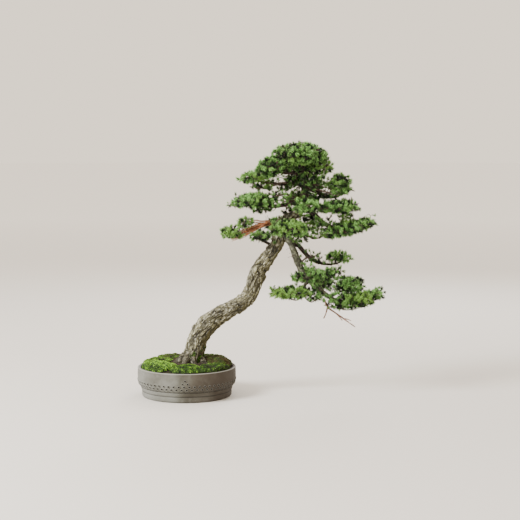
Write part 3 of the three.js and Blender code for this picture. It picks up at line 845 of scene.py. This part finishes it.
innerTwigs = [
    [[353, -50, 666, 2.4], [332, -60, 674, 2], [312, -70, 678, 1.6], [292, -78, 677, 1.2], [281, -82, 671, 0.8]],
    [[349, -45, 678, 2.2], [329, -50, 687, 1.8], [306, -58, 690, 1.4], [288, -62, 693, 0.8]],
    [[352, -48, 655, 3.6], [319, -60, 650, 3], [289, -70, 650, 2.6], [266, -74, 647, 2], [243, -76, 650, 1.4],
     [227, -78, 653, 0.8]],
    [[289, -70, 650, 2.2], [266, -76, 642, 1.8], [233, -78, 636, 1.5], [212, -80, 635, 1.2], [201, -82, 643, 0.8]],
    [[366, -45, 648, 3], [399, -55, 641, 2.4], [425, -62, 634, 1.6], [448, -64, 628, 0.8]],
    [[370, -45, 634, 3.4], [399, -60, 628, 2.8], [424, -70, 622, 2], [451, -70, 612, 1.4], [464, -68, 622, 0.8]],
    [[340, -46, 594, 2.6], [314, -70, 597, 2.1], [293, -76, 593, 1.7], [276, -80, 580, 1.3], [263, -78, 567, 0.8]],
    [[356, -42, 606, 3.4], [340, -50, 605, 3], [313, -60, 613, 2.6], [290, -66, 616, 2], [273, -70, 611, 1.6],
     [250, -72, 622, 0.8]],
    [[312, -40, 588, 2.4], [301, -66, 577, 2], [319, -66, 579, 1.5], [314, -62, 587, 1.1], [305, -60, 590, 0.8]],
    [[356, -40, 606, 3], [320, -40, 604, 2.4], [293, -36, 601, 1.8], [267, -34, 591, 1]],
    [[352, -46, 500, 2.2], [363, -60, 490, 1.8], [386, -66, 487, 1.4], [402, -70, 484, 0.8]],
    [[352, -20, 660, 2.6], [330, 4, 664, 2], [300, 22, 660, 1.6], [276, 34, 666, 0.8]],
    [[362, -30, 640, 2.8], [388, -6, 640, 2.2], [412, 16, 634, 1.6], [434, 30, 640, 0.8]],
    [[355, -80, 314, 2.4], [331, -86, 302, 2], [307, -90, 309, 1.7], [286, -92, 312, 1.3], [268, -92, 321, 0.8]],
    [[499, -66, 288, 2.2], [529, -62, 278, 1.8], [556, -56, 290, 1.4], [578, -52, 304, 0.8]],
    [[444, -62, 294, 2.4], [469, -70, 273, 1.9], [492, -72, 271, 1.5], [517, -70, 276, 0.9]],
    [[345, -74, 334, 2.4], [364, -82, 302, 1.9], [378, -84, 296, 1.6], [396, -84, 305, 1.2], [411, -82, 299, 0.8]],
    [[345, -36, 408, 3], [362, -24, 422, 2.6], [380, -20, 425, 2], [399, -14, 430, 1]],
    [[335, -24, 434, 3.4], [350, -30, 411, 3], [368, -36, 387, 2.4]],
    [[356, -24, 606, 3], [330, 2, 610, 2.4], [298, 18, 606, 1.8], [268, 26, 612, 0.8]],
    [[352, -20, 588, 3], [384, 8, 584, 2.4], [414, 24, 578, 1.6], [440, 30, 584, 0.8]],
]
innerPads = [  # small sprays between the limbs: centre and half size in millimetres, brightness, which is low for the sprays inside the crown as painted shade
    [387, -50, 664, 25, 26, 20, 0.8], [352, -62, 548, 15, 16, 12, 0.8], [403, -55, 521, 16, 22, 22, 0.75],
    [343, -66, 486, 30, 20, 12, 0.8], [391, 4, 417, 20, 20, 9, 0.9], [446, -26, 383, 30, 26, 12, 0.95],
    [349, -88, 686, 15, 10, 12, 0.4], [364, -86, 665, 13, 10, 11, 0.5], [345, -84, 641, 12, 8, 9, 0.4],
    [368, -80, 623, 14, 9, 9, 0.6],
    [364, -66, 399, 18, 10, 12, 0.95], [408, -74, 376, 26, 12, 14, 0.95], [381, -84, 335, 22, 12, 14, 0.9],
    [435, -86, 312, 20, 12, 13, 0.9], [480, -84, 305, 24, 12, 14, 0.9], [456, -76, 349, 14, 10, 9, 0.95],
    [492, -32, 356, 42, 28, 11, 1], [488, -52, 313, 34, 26, 14, 0.8], [575, -52, 326, 20, 18, 10, 1],
    [448, -62, 287, 28, 22, 13, 0.75], [388, -70, 318, 22, 22, 16, 0.85], [230, -64, 638, 36, 26, 9, 0.6],
    [301, -58, 634, 28, 26, 8, 0.6], [265, -52, 607, 16, 22, 13, 0.6], [481, -45, 550, 22, 24, 9, 0.95],
    [409, -46, 610, 28, 24, 9, 0.6], [319, -62, 658, 22, 24, 10, 0.6], [152, -52, 491, 26, 22, 9, 0.9],
    [230, -46, 571, 34, 24, 8, 0.6], [330, 10, 660, 30, 26, 14, 0.7], [388, 0, 640, 26, 26, 14, 0.7],
    [320, 16, 560, 30, 26, 12, 0.7], [380, 10, 540, 26, 24, 12, 0.7],
]
spurLook = {"every": 13 * mm, "reach": (8 * mm, 27 * mm), "tufts": (3, 5), "trunkFrom": 0.565,
            "leafy": 0.5, "leafyInner": 0.6}
spurLeafy = {"cascade": 0.15, "small_right": 0.25, "left_low": 0, "trunk": 0.7}  # other limbs: spurLook's


def spurTargets(line, chance, lowest=0):
    targets = []
    for centre, radius, across, aside, distance in sweepLine(line, spurLook["every"]):
        if centre.z < lowest or distance < 8 * mm:
            continue
        for _ in range(2):
            turn = chance.uniform(0, 2 * math.pi)
            heading = across * math.cos(turn) + aside * math.sin(turn)
            heading.z = 0.1 + 0.6 * abs(heading.z)
            targets.append(centre + heading.normalized() * (radius + chance.uniform(*spurLook["reach"])))
    return targets


def makeSpurs(line, chance, lowest, leafy):
    starts = [place for place in sweepCentres(line, growth["step"]) if place.z > lowest - 20 * mm]
    targets = spurTargets(line, chance, lowest)
    places, parents = growTwigs(starts, targets, chance)
    spots = []
    for k, spot in enumerate(targets, len(places) - len(targets)):
        if chance.random() < leafy:
            along = (spot - places[parents[k]]).normalized()
            heading = (0.6 * along + 0.7 * up).normalized()
            tone = chance.uniform(0.35, 0.95)
            spots += rosette(spot, heading, tone, chance, chance.randint(*spurLook["tufts"]), 0.9)
    return twigChains(places, parents), spots


spurChains, spurSpots = [], []
chance = random.Random("spurs")
for name, line in {"trunk": trunkLine, **limbLines}.items():
    lowest = spurLook["trunkFrom"] if name == "trunk" else 0
    chains, spots = makeSpurs(line, chance, lowest, spurLeafy.get(name, spurLook["leafy"]))
    spurChains += chains
    spurSpots += spots
for line in innerTwigs:
    spurChains.append(sweepChain(line, 4 * mm))
    chains, spots = makeSpurs(line, chance, 0, spurLook["leafyInner"])
    spurChains += chains
    spurSpots += spots
handOver(twigCurves("spurTwigs", spurChains, twigBrown), "young_bark")
scatterPiece("spurNeedles", spurSpots, tufts, "needles")

woodPlaces = [place for line in (trunkLine[12:], *limbLines.values(), *innerTwigs)
              for place in sweepCentres(line, growth["step"])]
innerChains, innerSpots = [], []
for x, y, z, wide, deep, high, bright in innerPads:
    bm = bmesh.new()
    matrix = Matrix.Translation(Vector((x, y, z)) * mm) @ Matrix.Diagonal((wide * mm, deep * mm, high * mm, 1))
    bmesh.ops.create_icosphere(bm, subdivisions=3, radius=1, matrix=matrix)
    bm.normal_update()
    clumps = clumpSpots(bm, chance)
    centre = Vector((x, y, z)) * mm
    starts = sorted(woodPlaces, key=lambda place: (place - centre).length)[:growth["innerStarts"]]
    places, parents = growTwigs(starts, [clump[0] for clump in clumps], chance)
    innerChains += twigChains(places, parents)
    innerSpots += leafyClumps(clumps, places, parents, chance, bright)
handOver(twigCurves("innerTwigs", innerChains, twigBrown), "young_bark")
scatterPiece("innerNeedles", innerSpots, tufts, "needles")
print("inner sprays", len(innerSpots), "spurs", len(spurSpots))


# the flat bundle of bare coppery twigs on the lowest left limb

bundleLook = {"twigs": 17, "deep": 11 * mm, "high": 11 * mm, "radius": (0.8 * mm, 1.8 * mm), "beads": 22,
              "wave": 3.2, "copies": 3}
bundleSprays = [  # x and height in millimetres of twigs that leave the bundle
    [(236, 526), (211, 509), (181, 493), (148, 478)], [(253, 535), (224, 534), (202, 537), (184, 532)],
    [(245, 529), (219, 522), (190, 513), (164, 507)], [(228, 519), (202, 507), (177, 488), (160, 484)],
    [(232, 522), (211, 513), (177, 504), (153, 488)]]
looseTwig = [[244, -27, 526, 1.6], [230, -30, 527, 1.5], [206, -36, 532, 1.3], [185, -42, 535, 1.1],
             [164, -46, 535, 0.7]]


def makeBundle():
    look = bundleLook
    chance = random.Random(31)
    line = inMetres(limbLines["left_low"])
    chains = []
    for k in range(look["twigs"]):
        shift = Vector((0, chance.uniform(-1, 1) * look["deep"], chance.uniform(-1, 0.8) * look["high"]))
        first, last = chance.uniform(0.08, 0.35), chance.uniform(0.72, 1.0)
        thick = chance.uniform(*look["radius"])
        chain = []
        for bead in range(look["beads"]):
            part = bead / (look["beads"] - 1)
            place = curvePoint(line, first + (last - first) * part).xyz + shift * smoothStep(part, 0, 0.45)
            sway = noise.noise_vector(place / (22 * mm) + Vector((k * 5.1, 0, 0)))
            place += sway * look["wave"] * mm * smoothStep(part, 0, 0.2)
            chain.append((place, thick * (1 - 0.7 * part)))
            if chance.random() < 0.22 and bead > 4:
                tip = place + Vector((chance.uniform(-9, -3), chance.uniform(-5, 5), chance.uniform(-5, 7))) * mm
                middle = place.lerp(tip, 0.5) + Vector((0, 0, 0.8)) * mm
                chains.append([(place, thick * 0.5), (middle, thick * 0.4), (tip, thick * 0.25)])
        chains.append(chain)
    for spray in bundleSprays:
        for _ in range(look["copies"]):
            shift = Vector((chance.uniform(-4, 4), chance.uniform(-9, 9), chance.uniform(-4, 4)))
            thick = chance.uniform(0.9, 1.9)
            bent = [[x + shift.x * j, -40 - 3 * j + shift.y, z + shift.z, thick * (1 - 0.22 * j)]
                    for j, (x, z) in enumerate(spray)]
            chains.append(sweepChain(bent, 3 * mm))
    chains.append(sweepChain(looseTwig, 3 * mm))
    handOver(twigCurves("copperTwigs", chains, copperTwig), "copper_bark")


makeBundle()

bm = bmesh.new()
for k, line in enumerate(deadTwigLines):
    part = bmesh.new()
    tube(part, sweepLine(line, 1.6 * mm), 10, barkSurface(part, 8 * mm, 2.6 * mm, 0.5 * mm, 0.45 * mm, 70 + k))
    addPart(bm, part)
handOver(pieceFrom(bm, "deadTwigWood", deadWood), "copper_bark", "dead_twig")
print("copper bundle and dead twig made")


# pot

potLook = {
    "steps": 168, "studsPerRow": 60, "studRows": [(51, 1), (42, 1), (34.8, 0.55)], "studSize": 4.5 * mm,
    "crest": [(-4.5, 60), (10.5, 60), (3, 69)],
    "drainCircle": 78, "drainRadius": 12, "wireHalf": 30, "wireHole": 3.1,
    "channelWide": 12, "channelDeep": 3,
}
potProfile = [  # radius and height in millimetres, from the middle of the underside round to the middle inside
    [0, 0], [60, 0], [110, 0], [130.5, 0], [132.4, 0.5], [134, 1.5], [135.6, 2.8], [136.5, 4.2],
    [137, 6.5], [137, 11], [137, 15.6], [136.6, 16.8], [135.9, 17.6], [135.8, 18.3], [136.5, 19.1], [137.5, 19.9],
    [138.4, 23], [139.6, 27], [140.3, 29.4], [140, 30.3], [139.4, 31.1], [139.4, 31.8], [140.2, 32.6], [141.6, 33.4],
    [143, 35.6], [144.8, 38.4], [146.4, 41.5], [147.7, 45], [148.6, 49.5], [149.4, 54], [149.9, 58], [150, 64],
    [150, 70], [149.7, 76], [149.4, 81], [149.3, 84.6], [149.6, 86.2], [149.5, 87.6], [148.9, 88.9], [147.8, 89.7],
    [146.2, 90], [143.4, 90], [141.6, 89.6], [140.4, 88.8], [139.8, 87.4], [139.5, 82], [139.2, 72], [138.9, 60],
    [137.6, 47], [136, 34], [134, 26], [131, 20], [128.6, 16], [125, 13], [60, 13], [0, 13],
]

potClay, tree, shader = newMaterial("potClay", 0.78)
coords = objectCoords(tree)
height = addNode(tree, "ShaderNodeSeparateXYZ", {"Vector": coords}).outputs["Z"]
clay = groundPatches(tree, 14.0, (0.105, 0.108, 0.088), (0.07, 0.072, 0.056), (0.135, 0.14, 0.12))
grains = useGroup(tree, specks, {"Vector": coords, "Scale": 520.0})
colour = blendColours(tree, maths(tree, "MULTIPLY", grains["Dark"], 0.6), clay["Colour"], (0.03, 0.026, 0.02))
colour = blendColours(tree, maths(tree, "MULTIPLY", grains["Light"], 0.35), colour, (0.26, 0.26, 0.24))
sideways = addNode(tree, "ShaderNodeSeparateXYZ", {"Vector": coords}).outputs["X"]
# a reddish-brown stain, partly real and partly painted shade: it is strongest towards the right (+X), the side away
# from the key light
stainAndShade = maths(tree, "MULTIPLY", ramp(tree, noiseMask(tree, coords, 9, 4), 0.4, 0.66),
              ramp(tree, height, 90 * mm, 35 * mm, 0.8, 0.3))
stainAndShade = maths(tree, "MULTIPLY", stainAndShade, ramp(tree, sideways, -20 * mm, 90 * mm, 0.3, 1))
colour = blendColours(tree, stainAndShade, colour, (0.07, 0.044, 0.03))
# painted shade and painted light: the clay is painted much darker towards the right (+X) and paler towards the left,
# where the key light falls
paintedLightAcross = maths(tree, "ADD", sideways, ramp(tree, noiseMask(tree, coords, 12, 3), 0.3, 0.7, -60 * mm, 60 * mm))
colour = blendColours(tree, ramp(tree, paintedLightAcross, -60 * mm, 130 * mm, 0, 0.88), colour, (0.03, 0.021, 0.013))
colour = blendColours(tree, ramp(tree, paintedLightAcross, -20 * mm, -150 * mm, 0, 0.55), colour, (0.25, 0.26, 0.25))
# painted shade: near black in the studs' pressed-in dots and in the two grooves
colour = blendColours(tree, attribute(tree, "hollowShade"), colour, (0.007, 0.006, 0.004))
# painted highlight: paler on the stud rings and along the rim's edge
colour = blendColours(tree, attribute(tree, "raisedHighlight"), colour, (0.27, 0.275, 0.25))
tree.links.new(colour, shader.inputs["Base Color"])
tree.links.new(ramp(tree, clay["Mask"], 0.3, 0.7, 0.68, 0.86), shader.inputs["Roughness"])
turned = addNode(tree, "ShaderNodeMapping", {"Vector": coords, "Scale": (2, 2, 60)})
throwing = noiseMask(tree, turned.outputs["Vector"], 9, 3)
relief = maths(tree, "ADD", maths(tree, "MULTIPLY", throwing, 0.7), noiseMask(tree, coords, 420, 6, 0.7))
bumpInto(tree, shader, relief, 0.45 * mm, 0.7)


def potWall(height):
    # the outer radius and the wall's slope at a height
    wall = potProfile[7:36]
    for (r0, z0), (r1, z1) in zip(wall, wall[1:]):
        if z0 <= height <= z1:
            return r0 + (r1 - r0) * (height - z0) / (z1 - z0), math.atan2(r1 - r0, z1 - z0)
    return wall[-1][0], 0


def studMesh():
    # a raised ring round a pressed-in dot, one unit across
    bm = bmesh.new()
    hollowShade = bm.verts.layers.float.new("hollowShade")
    raisedHighlight = bm.verts.layers.float.new("raisedHighlight")
    rim = bmesh.ops.create_circle(bm, cap_ends=True, segments=10, radius=1.0)["verts"]
    bmesh.ops.translate(bm, verts=rim, vec=(0, 0, -0.28))
    middle = bm.faces[:]
    # the ring's top gets a painted highlight and the pressed-in dot painted shade
    for inset, raised, raisedHighlightHere, hollowShadeHere in ((0.14, 0.6, 0.1, 0), (0.1, 0.08, 0.75, 0),
                                                (0.1, -0.14, 0, 0.85), (0.06, -0.14, 0, 1)):
        bmesh.ops.inset_individual(bm, faces=middle, thickness=inset)
        bmesh.ops.translate(bm, verts=middle[0].verts, vec=(0, 0, raised))
        for vert in middle[0].verts:
            vert[raisedHighlight] = raisedHighlightHere
            vert[hollowShade] = hollowShadeHere
    return meshFrom(bm, "stud")


def cutAway(piece, cutter):
    tool = bpy.data.objects.new("cutter", cutter)
    bpy.context.collection.objects.link(tool)
    boolean = piece.modifiers.new("cut", "BOOLEAN")
    boolean.object = tool
    boolean.solver = "EXACT"
    mesh = evaluatedMesh(piece)
    piece.modifiers.clear()
    piece.data = mesh
    bpy.data.objects.remove(tool)


def addDrill(cutter, segments, radius, x, y):
    bmesh.ops.create_cone(cutter, cap_ends=True, segments=segments, radius1=radius, radius2=radius, depth=60 * mm,
                          matrix=Matrix.Translation((x, y, 0)))


def makePot():
    look = potLook
    bm = bmesh.new()
    bm.verts.layers.float.new("hollowShade")
    bm.verts.layers.float.new("raisedHighlight")
    corners = [bm.verts.new((radius * mm, 0, height * mm)) for radius, height in potProfile]
    edges = [bm.edges.new(pair) for pair in zip(corners, corners[1:])]
    bmesh.ops.spin(bm, geom=corners + edges, cent=(0, 0, 0), axis=(0, 0, 1), angle=2 * math.pi,
                   steps=look["steps"], use_merge=True)
    bmesh.ops.remove_doubles(bm, verts=bm.verts, dist=0.01 * mm)
    bmesh.ops.recalc_face_normals(bm, faces=bm.faces)
    pot = pieceFrom(bm, "potBody", potClay)
    cutter = bmesh.new()
    for degrees in (90, 210, 330):
        angle = math.radians(degrees)
        circle = look["drainCircle"] * mm
        addDrill(cutter, 32, look["drainRadius"] * mm, circle * math.cos(angle), circle * math.sin(angle))
    row = -look["drainCircle"] / 2
    for side in (-1, 1):
        addDrill(cutter, 16, look["wireHole"] * mm, side * look["wireHalf"] * mm, row * mm)
    cutAway(pot, meshFrom(cutter, "holes"))
    wide, deep = look["channelWide"], look["channelDeep"]
    for alongX, alongY, y in ((300, wide, row), (wide, 150, 75 - row)):
        channel = bmesh.new()
        bmesh.ops.create_cube(channel, size=1, matrix=Matrix.Translation((0, y * mm, 0))
                              @ Matrix.Diagonal((alongX * mm, alongY * mm, 2 * deep * mm, 1)))
        cutAway(pot, meshFrom(channel, "channel"))

    chance = random.Random(5)
    spots = []
    for row, (height, size) in enumerate(look["studRows"]):
        for k in range(look["studsPerRow"]):
            angle = 2 * math.pi * (k + 0.5 * row) / look["studsPerRow"] - math.pi / 2
            spots.append((angle, height, size))
    for across, height in look["crest"]:
        spots.append((across / 150 - math.pi / 2, height, 0.95))
    points = []
    for angle, height, size in spots:
        radius, slope = potWall(height)
        outward = Vector((math.cos(angle), math.sin(angle), -math.sin(slope)))
        place = Vector((math.cos(angle) * radius, math.sin(angle) * radius, height)) * mm
        spin = chance.uniform(0, 1)
        size *= look["studSize"] * chance.uniform(0.94, 1.05)
        points.append((place, outward.normalized(), spin, size, 0, 0))
    studs = scatterMesh(points, templateSet("stud", [studMesh()]))
    bm = bmesh.new()
    bm.from_mesh(pot.data)
    bm.from_mesh(studs)
    hollowShade = bm.verts.layers.float["hollowShade"]
    raisedHighlight = bm.verts.layers.float["raisedHighlight"]
    # painted shade in the two grooves round the foot and a painted highlight along the rim's edge
    for vert in bm.verts:
        radius, height = vert.co.xy.length / mm, vert.co.z / mm
        if radius > 134 and vert[raisedHighlight] == 0 and vert[hollowShade] == 0:
            vert[hollowShade] = max(smoothStep(abs(height - groove), 1.6, 0.3) for groove in (18, 31.4)) * 0.75
            vert[raisedHighlight] = 0.75 * smoothStep(abs(radius - 148.2) + abs(height - 89.2), 2.6, 0.8)
    bm.to_mesh(pot.data)
    bm.free()
    pot.data.shade_smooth()
    pot.data.set_sharp_from_angle(angle=math.radians(50))
    handOver(pot, "stoneware", "pot")


makePot()
print("pot made")


# screens, wire and grit, which show through the holes underneath

screenLook = {"cells": 12, "bar": 0.045, "cover": 0.95}  # bar and cover are shares of the screen's width
screenPlastic, tree, shader = newMaterial("screenPlastic", 0.55)
shade = noiseMask(tree, objectCoords(tree), 260, 3)
tree.links.new(blendColours(tree, shade, (0.012, 0.014, 0.012), (0.04, 0.045, 0.04)), shader.inputs["Base Color"])
bumpInto(tree, shader, shade, 0.1 * mm)
for name in sorted(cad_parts):
    if not name.startswith("drain_screen"):
        continue
    low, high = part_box(name)
    bm = bmesh.new()
    bmesh.ops.create_grid(bm, x_segments=screenLook["cells"], y_segments=screenLook["cells"], size=0.5)
    bmesh.ops.wireframe(bm, faces=bm.faces, thickness=screenLook["bar"], use_replace=True, use_even_offset=True,
                        use_boundary=True)
    wide, deep, thick = high - low
    bmesh.ops.scale(bm, verts=bm.verts, vec=(wide * screenLook["cover"], deep * screenLook["cover"], thick / 0.05))
    bmesh.ops.translate(bm, verts=bm.verts, vec=(low + high) / 2)
    bmesh.ops.recalc_face_normals(bm, faces=bm.faces)
    handOver(pieceFrom(bm, "mesh_" + name[-1], screenPlastic, False), "screen", name)


def coatNode(name, material):
    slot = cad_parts[name].material_slots[0]
    slot.link = "OBJECT"
    slot.material = material


wireMetal, tree, shader = newMaterial("wireMetal", 0.4)
shader.inputs["Metallic"].default_value = 1
tarnish = noiseMask(tree, objectCoords(tree), 180, 4)
tree.links.new(blendColours(tree, tarnish, (0.18, 0.09, 0.05), (0.42, 0.27, 0.18)), shader.inputs["Base Color"])
tree.links.new(ramp(tree, tarnish, 0.3, 0.7, 0.32, 0.6), shader.inputs["Roughness"])
coatNode("root_tie_wire", wireMetal)

gritStone, tree, shader = newMaterial("gritStone", 0.95)
stones = addNode(tree, "ShaderNodeTexVoronoi", {"Vector": objectCoords(tree), "Scale": 190.0})
pick = addNode(tree, "ShaderNodeSeparateColor", {"Color": stones.outputs["Color"]}).outputs["Red"]
stoneTone = blendColours(tree, pick, (0.07, 0.035, 0.025), (0.21, 0.13, 0.09))
# painted shade: near black in the gaps between the stones
tree.links.new(blendColours(tree, ramp(tree, stones.outputs["Distance"], 0.45, 0.62), stoneTone, (0.012, 0.008, 0.006)),
               shader.inputs["Base Color"])
bumpInto(tree, shader, ramp(tree, stones.outputs["Distance"], 0.1, 0.6, 1, 0), 2 * mm)
coatNode("drainage_grit", gritStone)


# soil and moss

soilEarth, tree, shader = newMaterial("soilEarth", 1.0)
earth = groundPatches(tree, 90.0, (0.026, 0.018, 0.012), (0.012, 0.008, 0.006), (0.05, 0.036, 0.026))
tone = ramp(tree, attribute(tree, "tone"), 0, 1, 0.6, 2.4)
tree.links.new(addNode(tree, "ShaderNodeHueSaturation", {"Color": earth["Colour"], "Value": tone}).outputs["Color"],
               shader.inputs["Base Color"])
bumpInto(tree, shader, noiseMask(tree, objectCoords(tree), 700, 4), 0.4 * mm)

soilLook = {"granules": 3200, "size": (1.2 * mm, 2.6 * mm), "kinds": 4, "rough": 1.6 * mm}


def granuleMesh(seed):
    bm = bmesh.new()
    bmesh.ops.create_icosphere(bm, subdivisions=1, radius=1)
    for vert in bm.verts:
        vert.co *= 1 + 0.3 * noise.noise(vert.co * 1.3 + Vector((seed * 7, 0, 0)))
    return meshFrom(bm, "granule", soilEarth)


def surfaceSpots(bm, count, chance, lowest=0.25):
    # random places on the upper faces of a mesh, with their normals
    bmesh.ops.triangulate(bm, faces=bm.faces)
    bm.normal_update()
    faces = [face for face in bm.faces if face.normal.z > lowest]
    weights = [face.calc_area() for face in faces]
    spots = []
    for face in chance.choices(faces, weights, k=count):
        a, b = chance.random(), chance.random()
        if a + b > 1:
            a, b = 1 - a, 1 - b
        first, second, third = (vert.co for vert in face.verts)
        spots.append((first + (second - first) * a + (third - first) * b, face.normal.copy()))
    bm.free()
    return spots


def hummock(spot, scale=17 * mm):
    # rounded cushions of two sizes, from 0 in the folds between them to 1 on top
    big = noise.voronoi(spot / scale)[0]
    small = noise.voronoi(spot / (scale * 0.42) + Vector((9, 4, 2)))[0]
    return 0.7 * (1 - min(1, big[0]) ** 2) + 0.3 * (1 - min(1, small[0]) ** 2)


def makeSoil():
    chance = random.Random(17)
    bm = mergedCopy("soil")
    bmesh.ops.subdivide_edges(bm, edges=bm.edges, cuts=3, use_grid_fill=True)
    bm.normal_update()
    for vert in bm.verts:
        if vert.normal.z > 0.4:
            vert.co.z += soilLook["rough"] * noise.fractal(vert.co / (9 * mm), 1, 2, 3)
    toneLayer = bm.verts.layers.float.new("tone")
    for vert in bm.verts:
        vert[toneLayer] = 0.25
    handOver(pieceFrom(bm, "soilGround", soilEarth), "soil", "soil")
    spots = []
    for place, normal in surfaceSpots(mergedCopy("soil"), soilLook["granules"], chance):
        heading = Vector(chance.uniform(-1, 1) for _ in range(3)).normalized()
        size = chance.uniform(*soilLook["size"])
        spots.append((place + normal * size * 0.4, heading, chance.uniform(0, 6), size, chance.random(),
                      chance.randrange(soilLook["kinds"])))
    granules = templateSet("granule", [granuleMesh(k) for k in range(soilLook["kinds"])])
    scatterPiece("soilGranules", spots, granules, "soil")


makeSoil()

mossGreen, tree, shader = newMaterial("mossGreen", 0.95)
coords = objectCoords(tree)
tone = attribute(tree, "tone")
wet = groundPatches(tree, 45.0, (0.042, 0.12, 0.008), (0.012, 0.05, 0.005), (0.085, 0.19, 0.012))
# low tone goes near black, painted shade in the folds between the hummocks; high tone goes bright yellow-green, the
# moss's fresh colour and a painted highlight on the hummock tops
low = blendColours(tree, ramp(tree, tone, 0.1, 0.5), (0.003, 0.006, 0.001), wet["Colour"])
high = blendColours(tree, ramp(tree, tone, 0.5, 1.0), low, (0.33, 0.62, 0.06))
dryness = maths(tree, "MULTIPLY", attribute(tree, "dry"), ramp(tree, wet["Mask"], 0.35, 0.6))
tree.links.new(blendColours(tree, dryness, high, (0.06, 0.04, 0.012)), shader.inputs["Base Color"])
bumpInto(tree, shader, noiseMask(tree, coords, 1100, 4, 0.7), 0.5 * mm)

mossLook = {"kinds": 4, "hump": 11 * mm, "sprigs": 1650, "sprig": 3.3 * mm,
            "creeping": 4200, "creepingSprig": 3.8 * mm, "creepingReach": 132 * mm,
            "climbing": 1100, "climbingSprig": 3.6 * mm, "climbingTop": 150 * mm}
mossTones = {  # brightness and dryness of each patch
    "moss_front_left": (1.2, 0), "moss_front": (0.8, 0), "moss_front_right": (0.7, 0.15),
    "moss_right_mound": (0.65, 0.9), "moss_back_right": (0.65, 0.5), "moss_back_left": (0.8, 0.6),
    "moss_left": (1.05, 0.2)}


def sprigMesh(seed):
    # a tiny moss plant: leaves round a point, each a closed three-sided spike
    chance = random.Random(seed)
    bm = bmesh.new()
    for k in range(6):
        lean = math.radians(chance.uniform(15, 62))
        turn = k * 2.4 + chance.uniform(-0.3, 0.3)
        leaf = bmesh.ops.create_cone(bm, segments=3, cap_ends=True, radius1=0.16, radius2=0, depth=1)["verts"]
        bmesh.ops.translate(bm, verts=leaf, vec=(0, 0, 0.42))
        bmesh.ops.scale(bm, verts=leaf, vec=(0.7, 1.2, chance.uniform(0.7, 1.05)))
        bmesh.ops.transform(bm, verts=leaf, matrix=Matrix.Rotation(turn, 4, "Z") @ Matrix.Rotation(lean, 4, "Y"))
    return meshFrom(bm, "sprig", mossGreen)


sprigs = templateSet("sprig", [sprigMesh(k) for k in range(mossLook["kinds"])])

for name, (bright, dry) in mossTones.items():
    chance = random.Random(name)
    bm = mergedCopy(name)
    bmesh.ops.subdivide_edges(bm, edges=bm.edges, cuts=4, use_grid_fill=True)
    bm.normal_update()
    toneLayer = bm.verts.layers.float.new("tone")
    for vert in bm.verts:
        hump = hummock(vert.co)
        outside = smoothStep(vert.normal.z, -0.1, 0.4)
        # painted shade and painted highlight: the cushion's tone is low in the folds and high on the hummock tops
        vert[toneLayer] = bright * hump ** 2 * 0.4
        vert.co += (vert.normal * (hump - 0.55) * outside * mossLook["hump"])
    grown = bm.copy()
    base = pieceFrom(bm, "cushion_" + name, mossGreen)
    paintAll(base.data, "dry", dry)
    handOver(base, "moss", name)
    spots = []
    for place, normal in surfaceSpots(grown, mossLook["sprigs"], chance, -0.3):
        heading = normal + 0.25 * up + Vector(chance.uniform(-0.5, 0.5) for _ in range(3))
        # painted shade and painted highlight: a sprig's tone is low in the folds and high on the hummock tops
        tone = bright * (0.08 + 1.15 * hummock(place - normal * 3 * mm) ** 2) * chance.uniform(0.5, 1.15)
        spots.append((place - normal * 0.4 * mm, heading.normalized(), chance.uniform(0, 6),
                      mossLook["sprig"] * chance.uniform(0.6, 1.25), min(1, tone), chance.randrange(mossLook["kinds"])))
    scatterPiece("sprigs_" + name, spots, sprigs, "moss", dry=dry)

# thin dark moss on the soil round the roots
chance = random.Random(12)
spots = []
for place, normal in surfaceSpots(mergedCopy("soil"), mossLook["creeping"], chance, 0.6):
    if noise.noise(place / (12 * mm)) > -0.05 and place.xy.length < mossLook["creepingReach"]:
        heading = normal + Vector(chance.uniform(-0.5, 0.5) for _ in range(3))
        spots.append((place, heading.normalized(), chance.uniform(0, 6),
                      mossLook["creepingSprig"] * chance.uniform(0.6, 1.3), chance.uniform(0.1, 0.5),
                      chance.randrange(mossLook["kinds"])))
scatterPiece("sprigs_soil", spots, sprigs, "moss", dry=0.6)

# moss that climbs the foot of the trunk on its right side
chance = random.Random(9)
spots = []
foot = [ring for ring in sweepLine(trunkLine, 2 * mm) if ring[0].z < mossLook["climbingTop"]]
while len(spots) < mossLook["climbing"]:
    centre, radius, across, aside, distance = foot[int(chance.random() ** 1.6 * len(foot))]
    turn = chance.gauss(-0.45, 0.65)
    side = Vector((math.cos(turn), math.sin(turn), 0))
    place = centre + side * (radius + 1.5 * mm)
    gaps = -0.1 + 0.3 * smoothStep(place.z, 105 * mm, mossLook["climbingTop"])
    if noise.noise(place / (14 * mm)) < gaps or place.z < 96 * mm:
        continue
    spots.append((place, (side + 0.6 * up).normalized(), chance.uniform(0, 6),
                  mossLook["climbingSprig"] * chance.uniform(0.7, 1.3), chance.uniform(0.25, 0.7),
                  chance.randrange(mossLook["kinds"])))
scatterPiece("sprigs_trunk_foot", spots, sprigs, "moss", dry=0.1)
print("soil and moss made")


# floor: it grows paler with distance, so that it runs into the sky without an edge

floorMaterial, tree, shader = newMaterial("studioFloor", 0.9)
shader.inputs["Specular IOR Level"].default_value = 0.1
away = addNode(tree, "ShaderNodeVectorMath", {0: objectCoords(tree)}, operation="LENGTH").outputs["Value"]
paling = blendColours(tree, ramp(tree, away, 1.0, 9.0), (0.66, 0.64, 0.61), (0.96, 0.96, 0.96))
tree.links.new(paling, shader.inputs["Base Color"])
bm = bmesh.new()
bmesh.ops.create_circle(bm, cap_ends=True, segments=128, radius=40)
floor = pieceFrom(bm, "floor", floorMaterial, False)
